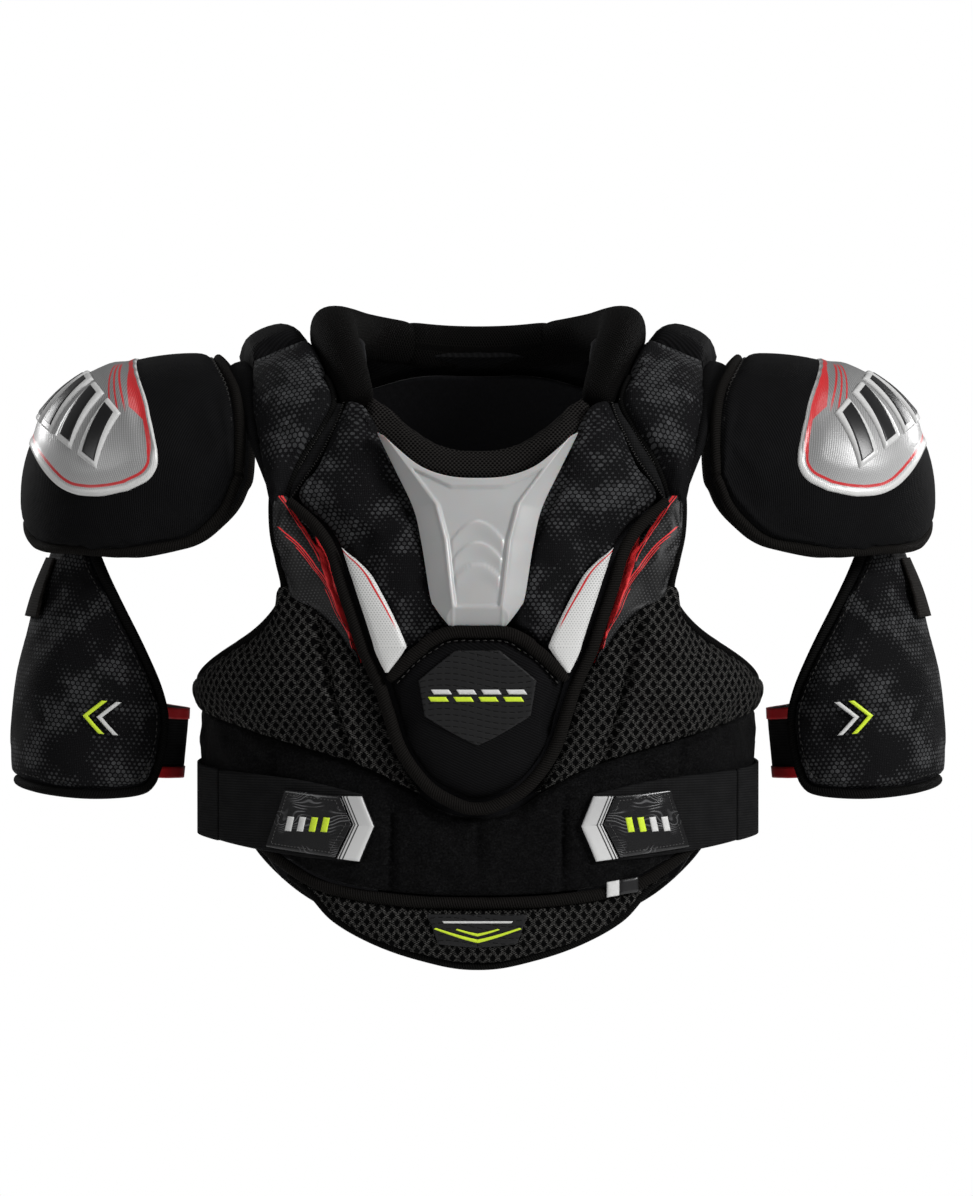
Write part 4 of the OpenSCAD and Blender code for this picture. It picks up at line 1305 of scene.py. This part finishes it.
def caps():
    """The foam cap with its bound rim, the silver insert with raised blocks, and the lining."""
    edges = [CAP_FRONT, CAP_BACK, CAP_INNER, CAP_OUTER]
    patch = Patch(cap_dome, edges, 2.6)
    bulge = crown(patch, 4) - 3.2 * (1 - smooth(patch.rim / 9))
    shell = solid("cap_shell", patch, -8.0, np.maximum(bulge, -6.5))
    inflate(shell, (patch.rim > 6).ravel(), 2, 1.2)
    pair(shell, "cap_{}", KNIT, "cap_shell")
    trim = closed_binding("cap_binding", cap_dome, loop_of(edges), -3.6, 3.2, 4.4)
    pair(trim, "cap_{}", TAPE)
    seam = stitches("cap_stitches", cap_dome, loop_of(edges, 0.058), -1.3, 2.3, 2.6, 0.38, 0.7)
    pair(seam, "cap_{}", THREAD)

    near = [(1.5, -62.5), (-4, -53), (-9, -38), (-13, 0), (-9, 38), (-4, 53), (1.5, 62.5)]
    far = [(23, -63.5), (32, -54), (36, -40), (31, -15), (31, 15), (36, 40), (32, 54), (23, 63.5)]
    low = [near[0], (6.5, -66.8), (14, -67.5), far[0]]
    high = [near[6], (6.5, 66.8), (14, 67.5), far[7]]
    edges = [low, high, near, far]
    silver = Patch(cap_dome, edges, 1.2)
    silver.rim = silver.away_from(loop_of(edges), 500)
    step = 0.5 * smooth((silver.rim - 3.2) / 1.2)
    rise = 2.2 * smooth((silver.rim - 5) / 11)
    height = 1.2 + 1.8 * rounded(silver, 3.0) - step + rise
    insert = solid("cap_insert", silver, 0.2, 0.2 + height, rim_and_near_mm)
    pair(insert, "cap_{}", INSERT, "cap_insert")
    for i, lane in enumerate(range(-44, 45, 11)):
        outline = slanted_block(lane, 4.1, 3.0, 23.0)
        block = thin(f"insert_block_{i + 1}", cap_dome, outline, BLOCK_H, 2.8, 0.8, 1.8)
        pair(block, "cap_{}", SILVER_PRINT)
        outline = slanted_block(lane, 2.7, 4.8, 21.2)
        face = thin(f"insert_face_{i + 1}", cap_dome, outline, FACE_H, 0.6, 0.8, 0.5)
        pair(face, "cap_{}", BLACK_PRINT)

    near = [(-34, -56), (-36, -28), (-36, 0), (-36, 28), (-34, 52)]
    far = [(38, -66), (46, -40), (44, 0), (46, 40), (38, 62)]
    edges = [[near[0], (0, -80), far[0]], [near[4], (0, 76), far[4]], near, far]
    lining = pad("cap_liner", cap_dome, edges, -12.5, (3, 4), spacing=4)
    pair(lining, "cap_{}", LINER, "cap_liner")


def rim_and_near_mm(patch):
    """How far in mm each point is from the rim, and from the near edge."""
    return np.stack([patch.rim, patch.from_near], axis=-1)


def slanted_block(lane, half, top, foot):
    """Four sharp edges of a block that leans towards the cap's front, in degrees from the pole."""
    lean = 3.0
    low, high = ([(top, y + lean), (foot, y - lean)] for y in (lane - half, lane + half))
    return sharp(stacked(low, high))


def closed_binding(name, surface, ring, height, wide, high, spacing=2.2):
    """Tape round a closed edge."""
    steps = int(Patch.length(surface, along(ring, np.linspace(0, 1, 600))) / spacing)
    p, t, n, run = path_points(surface, ring, height, steps + 1)
    p, t, n = p[:-1], t[:-1], n[:-1]
    t = np.roll(p, -1, axis=0) - np.roll(p, 1, axis=0)
    t /= np.linalg.norm(t, axis=1)[:, None]
    n = n - (n * t).sum(1)[:, None] * t
    n /= np.linalg.norm(n, axis=1)[:, None]
    return tube(name, p, t, n, run[:-1], wide, high, closed=True)


# ---- arm guards ----

GUARD_FRONT = [(30, -22), (5, -50), (-18, -78), (-38, -110), (-41, -134), (-37, -151)]
GUARD_REAR = [(118, -22), (134, -60), (148, -98), (152, -130), (149, -150)]
BAND_LOW_H, BAND_W = -152, 40
BAND_START, BAND_END = -158, -40  # in degrees round the arm
WEBBING_TURN, WEBBING_HALF_TURN = 74, 12.5 / 50 * 57.3


def band_stretch(start, end, low, high):
    """A stretch of the arm band, and how far it lies off the arm: sunk midway, up near its tab."""
    low, high = ([(start, h), (-100, h), (end, h)] for h in (low, high))
    patch = Patch(arm, stacked(low, high), 2)
    share = (patch.at[..., 0] - BAND_START) / (BAND_END - BAND_START)
    sunk = mix(0.5, -4.0, smooth(np.minimum(share, 1 - share) / 0.25))
    return patch, sunk + 2.3 * smooth(1 - share / 0.15)


def guards():
    """The arm guard, the webbing that hangs it, and the elastic band round the arm with its tab."""
    low = [(-37, -151), (-27, -160), (20, -165), (90, -162), (138, -159), (149, -150)]
    high = [(30, -22), (74, -18), (118, -22)]
    edges = [low, high, GUARD_FRONT[::-1], GUARD_REAR[::-1]]
    base = thin("guard_base", arm, edges, 0.5, 3.4, 3, 2)
    pair(base, "arm_guard_{}", LINER, "guard_base")
    trim = closed_binding("guard_binding", arm, loop_of(edges), GUARD_H, 2.9, 3.6)
    pair(trim, "arm_guard_{}", EDGE)

    front = [(33, -27), (8.5, -52), (-14.5, -79.5), (-34.5, -111), (-37, -133), (-33.5, -149)]
    rear = [(114, -28), (130.5, -61.5), (144.5, -98.5), (148.5, -130), (145.5, -148)]
    low = [front[5], (-25, -156.5), (20, -161.5), (90, -158.5), (136, -155.5), rear[4]]
    high = [(33, -27), (74, -27.5), (114, -28)]
    edges = [low, high, front[::-1], rear[::-1]]
    shell = pad("guard_shell", arm, edges, GUARD_H, (3.5, 7.5), round_mm=5, puff=(2, 1.5), uneven=0.5)
    pair(shell, "arm_guard_{}", PRINT, "guard_shell")
    seam = stitches("guard_stitches", arm, loop_of(edges, 0.045, (52, -95)), 7.4, 3.4, 2.2)
    pair(seam, "arm_guard_{}", THREAD)

    arrow = straight([(-9, -129.5), (1, -120.5), (-9, -111.5)])
    for i, shift in enumerate((0, 8)):
        near = [(a + shift, h) for a, h in arrow]
        far = [(a + 3.2, h) for a, h in near]
        mark = thin(f"guard_mark_{i + 1}", arm, flanked(near, far), GUARD_MARK_H, 0.8, 0.8, 0.4)
        pair(mark, "arm_guard_{}", LIME_PRINT if i else WHITE_PRINT)

    a, b = WEBBING_TURN - WEBBING_HALF_TURN, WEBBING_TURN + WEBBING_HALF_TURN
    strip = thin("arm_webbing", arm, stacked([(a, -26), (b, -26)], [(a, 18), (b, 18)]), 7, 1.5, 2, 0.6)
    pair(strip, "arm_guard_{}", WEBBING, "arm_webbing")
    patch = Patch(arm, stacked([(a - 4, -70), (b - 4, -70)], [(a, -34), (b, -34)]), 2)
    lift = mix(14, 9.5, patch.v) + 1.2 * np.sin(patch.v * np.pi)
    pair(solid("webbing_tail", patch, lift, lift + 1.5), "arm_guard_{}", WEBBING, "webbing_tail")

    low, high = BAND_LOW_H, BAND_LOW_H + BAND_W
    patch, lift = band_stretch(BAND_START, BAND_END, low, high)
    pair(solid("arm_band", patch, lift, lift + 2), "arm_guard_{}", ELASTIC, "arm_band")
    for label, middle in (("low", low + 3), ("high", high - 3)):
        patch, lift = band_stretch(BAND_START + 6, BAND_END - 1, middle - 3.2, middle + 3.2)
        hem = solid(f"arm_band_hem_{label}", patch, lift + 2.0, lift + 2.7)
        pair(hem, "arm_guard_{}", RED_TAPE)
    tip = [(156, low), (152, (low + high) / 2), (156, high)]
    tab = thin("arm_band_tab", arm, flanked(tip, [(204, low), (204, high)]), 5, 2, 2)
    pair(tab, "arm_tab_{}", ELASTIC, "arm_band_tab")


# ---- side straps ----

STRAP_H = 12
STRAP_LOW, STRAP_W = -250, 40
STRAP_RISE = 12  # how much higher the elastic meets the back
BACK_TURN, TUCKED_H = 121, 1.0  # where it's sewn in there, under the lower back pad


def straps():
    """The side elastic and the strap end that sticks to the band, with its label and tip."""
    start = turn_of(135, -230)
    low, high = ([(start, z), (BACK_TURN, z + STRAP_RISE)] for z in (STRAP_LOW, STRAP_LOW + STRAP_W))
    patch = Patch(torso, stacked(low, high), 2)
    lift = mix(STRAP_H, TUCKED_H, smooth((patch.u - 0.15) / 0.4))
    pair(solid("side_elastic", patch, lift, lift + 2), "torso", ELASTIC, "side_elastic")

    near = [(62, -259), (54, -239), (61, -221.5)]
    far = [(134.5, STRAP_LOW), (134.5, STRAP_LOW + STRAP_W)]
    edges = side_edges([near[0], (90, -257), far[0]], [near[2], (95, -214), far[1]], straight(near), far)
    pair(thin("strap_end", torso, edges, STRAP_H, 2, 2), "strap_{}", ELASTIC, "strap_end")

    near = [(74, -256.5), (65.5, -238), (71.5, -222.5)]
    far = [(109, -251.5), (99.5, -219.5)]
    sides = side_edges(*flanked(near, far))
    label = thin("strap_label", torso, sharp(sides), STRAP_H + 2.6, 1.8, 1.2)
    pair(label, "strap_{}", GLOSS, "strap_label")
    loop = [(77, -253.5), (106, -249.5), (98, -222.2), (73.5, -225), (68.5, -238), (77, -253.5)]
    seam = stitches("label_stitches", torso, on_front(straight(loop)), STRAP_H + 4.5, 1.9, 1.2, 0.22)
    pair(seam, "strap_{}", GREY_THREAD)
    for i, x in enumerate((79, 85, 91, 97)):
        foot, head = [(x - 1, -242.5), (x + 2.2, -242.2)], [(x - 2.6, -234.5), (x + 0.6, -234.2)]
        edges = side_edges(*stacked(foot, head))
        bar = thin(f"label_bar_{i + 1}", torso, edges, STRAP_H + 4.2, 0.5, 0.8, 0.3)
        pair(bar, "strap_{}", LIME_PRINT if i < 2 else WHITE_PRINT)
    near = [(62, -258.5), (54.5, -239), (60.5, -222.5)]
    far = [(73.5, -257), (65, -238), (71, -222.5)]
    sides = side_edges(*flanked(near, far))
    tip = thin("strap_tip", torso, sharp(sides), STRAP_H + 2.4, 1.8, 0.9)
    pair(tip, "strap_{}", TIP)


# ---- inside and back ----

SPINE_RIBS = 7


def liners():
    """The lining of the chest and of the back."""
    side = [
        (115, -258), (146, -215), (147, -168), (118, -138), (103, -110), (105, -80), (104, -56),
        (90, -42), (56, -22),
    ]
    edges = front_edges([(0, -272), (60, -270), side[0]], [(0, -46), (30, -38), side[8]], side)
    lining = thin("chest_liner", torso, edges, LINER_H, LINER_T, 4, 4)
    place(lining, "torso", LINER, ["chest_liner"])
    side = [(118, -280), (142, -230), (146, -180), (122, -140), (106, -108), (100, -60), (86, 4)]
    edges = back_edges([(0, -296), (60, -294), side[0]], [(0, 19), (40, 18), side[6]], side)
    lining = thin("back_liner", torso, edges, LINER_H, LINER_T, 4, 4)
    place(lining, "torso", LINER, ["back_liner"])


def back():
    """The yoke, two quilted panels with a ribbed spine plate between them, and the lower pad."""
    side = [(90, -6), (84, 10), (66, 27)]
    edges = back_edges([(0, -6), (34, -6), side[0]], [(0, 26.5), (34, 27), side[2]], side)
    yoke = pad("back_yoke", torso, edges, 1.5, (6, 9), puff=(2, 1.5))
    place(yoke, "torso", KNIT, ["back_yoke"])

    near = [(136, -178), (114, -132), (104, -100), (101, -60), (98, -24)]
    far = [(30, -200), (30, -140), (30, -70), (34, -12)]
    low, high = [near[0], (84, -195), far[0]], [near[4], (70, -9), far[3]]
    edges = [on_back(e) for e in (low, high, near, far)]
    quilts = [(on_back(q), 3, 0.5) for q in ([(120, -120), (30, -128)], [(108, -68), (30, -66)])]
    panel = pad("back_panel", torso, edges, BASE, (9, 12.5), seams=quilts, puff=(3, 2))
    pair(panel, "torso", PRINT, "back_panel")

    side = [(18, -200), (26, -140), (27, -70), (24, -13)]
    patch = Patch(torso, back_edges([(0, -204), side[0]], [(0, -11), side[3]], side), 1.5)
    rib = patch.v * SPINE_RIBS - np.floor(patch.v * SPINE_RIBS)
    height = 10.5 + 3.5 * smooth(rib / 0.25) * smooth((1 - rib) / 0.12) + 3 * rounded(patch, 8)
    plate = solid("spine_plate", patch, BASE, BASE + height)
    place(plate, "torso", SPINE, ["spine_plate"])

    side = [(116, -274), (131, -252), (142, -220), (138, -183)]
    rim = [(0, -312), (55, -308), (92, -294), side[0]]
    edges = back_edges(rim, [(0, -209), (30, -206), (84, -201), side[3]], side)
    quilts = [(on_back([(x, -204), (x * 0.8, -306)]), 3, 0.55) for x in (-70, 0, 70)]
    lower_pad = pad("back_lower_pad", torso, edges, BASE, (7, 10.5), seams=quilts, puff=(3, 2))
    place(lower_pad, "torso", MESH, ["back_lower_pad"])
    line = on_back(both_sides(rim + side[1:]))
    trim = binding("back_lower_binding", torso, line, BASE + 1.2, 2.6, 3.0, ends=0.7)
    place(trim, "torso", EDGE)


chest()
sternum()
accents()
waist()
neck()
shoulders()
caps()
guards()
straps()
liners()
back()

# ---- stage ----

SURROUND_LIGHT = 0.13  # how strongly the surround lights the pads. The camera sees it at full strength
LIGHTS = [  # name, place in metres, size in metres, power in watts
    ("key", (2.6, -1.9, 1.2), 1.0, 104),
    ("fill", (-2.3, -2.1, 0.7), 1.4, 18),
    ("top", (0.2, -0.6, 2.4), 1.4, 18),
    ("rim_left", (2.2, 1.8, 0.9), 1.0, 34),
    ("rim_right", (-2.2, 1.8, 0.9), 1.0, 34),
]
LIT_POINT = Vector((0, 0, -0.12))


def stage():
    """A pale floor under the pads, soft lights, and a white surround that lights them weakly."""
    half, floor = 1500, -700
    points = [(-half, -half, floor), (half, -half, floor), (half, half, floor), (-half, half, floor)]
    ground = mesh_object("floor", points, [(0, 1, 2, 3)])
    paint = Paint("floor_paint", Roughness=0.9, Specular_IOR_Level=0.1)
    paint.base(paint.colour(paint.noise(paint.local(), 1.5), (0.80, 0.80, 0.80), (0.84, 0.84, 0.84)))
    ground.data.materials.append(paint.material)
    world = bpy.data.worlds.new("studio")
    world.use_nodes = True
    tree = world.node_tree
    surround = tree.nodes["Background"]
    surround.inputs[0].default_value = (1, 1, 1, 1)
    seen = tree.nodes.new("ShaderNodeLightPath")
    strength = tree.nodes.new("ShaderNodeMapRange")
    strength.inputs["To Min"].default_value = SURROUND_LIGHT
    strength.inputs["To Max"].default_value = 1.0
    tree.links.new(seen.outputs["Is Camera Ray"], strength.inputs["Value"])
    tree.links.new(strength.outputs[0], surround.inputs[1])
    bpy.context.scene.world = world
    for name, place_at, size, power in LIGHTS:
        data = bpy.data.lights.new(name, "AREA")
        data.size, data.energy = size, power
        lamp = bpy.data.objects.new(name, data)
        lamp.location = place_at
        lamp.rotation_euler = (LIT_POINT - Vector(place_at)).to_track_quat("-Z", "Y").to_euler()
        bpy.context.collection.objects.link(lamp)


stage()
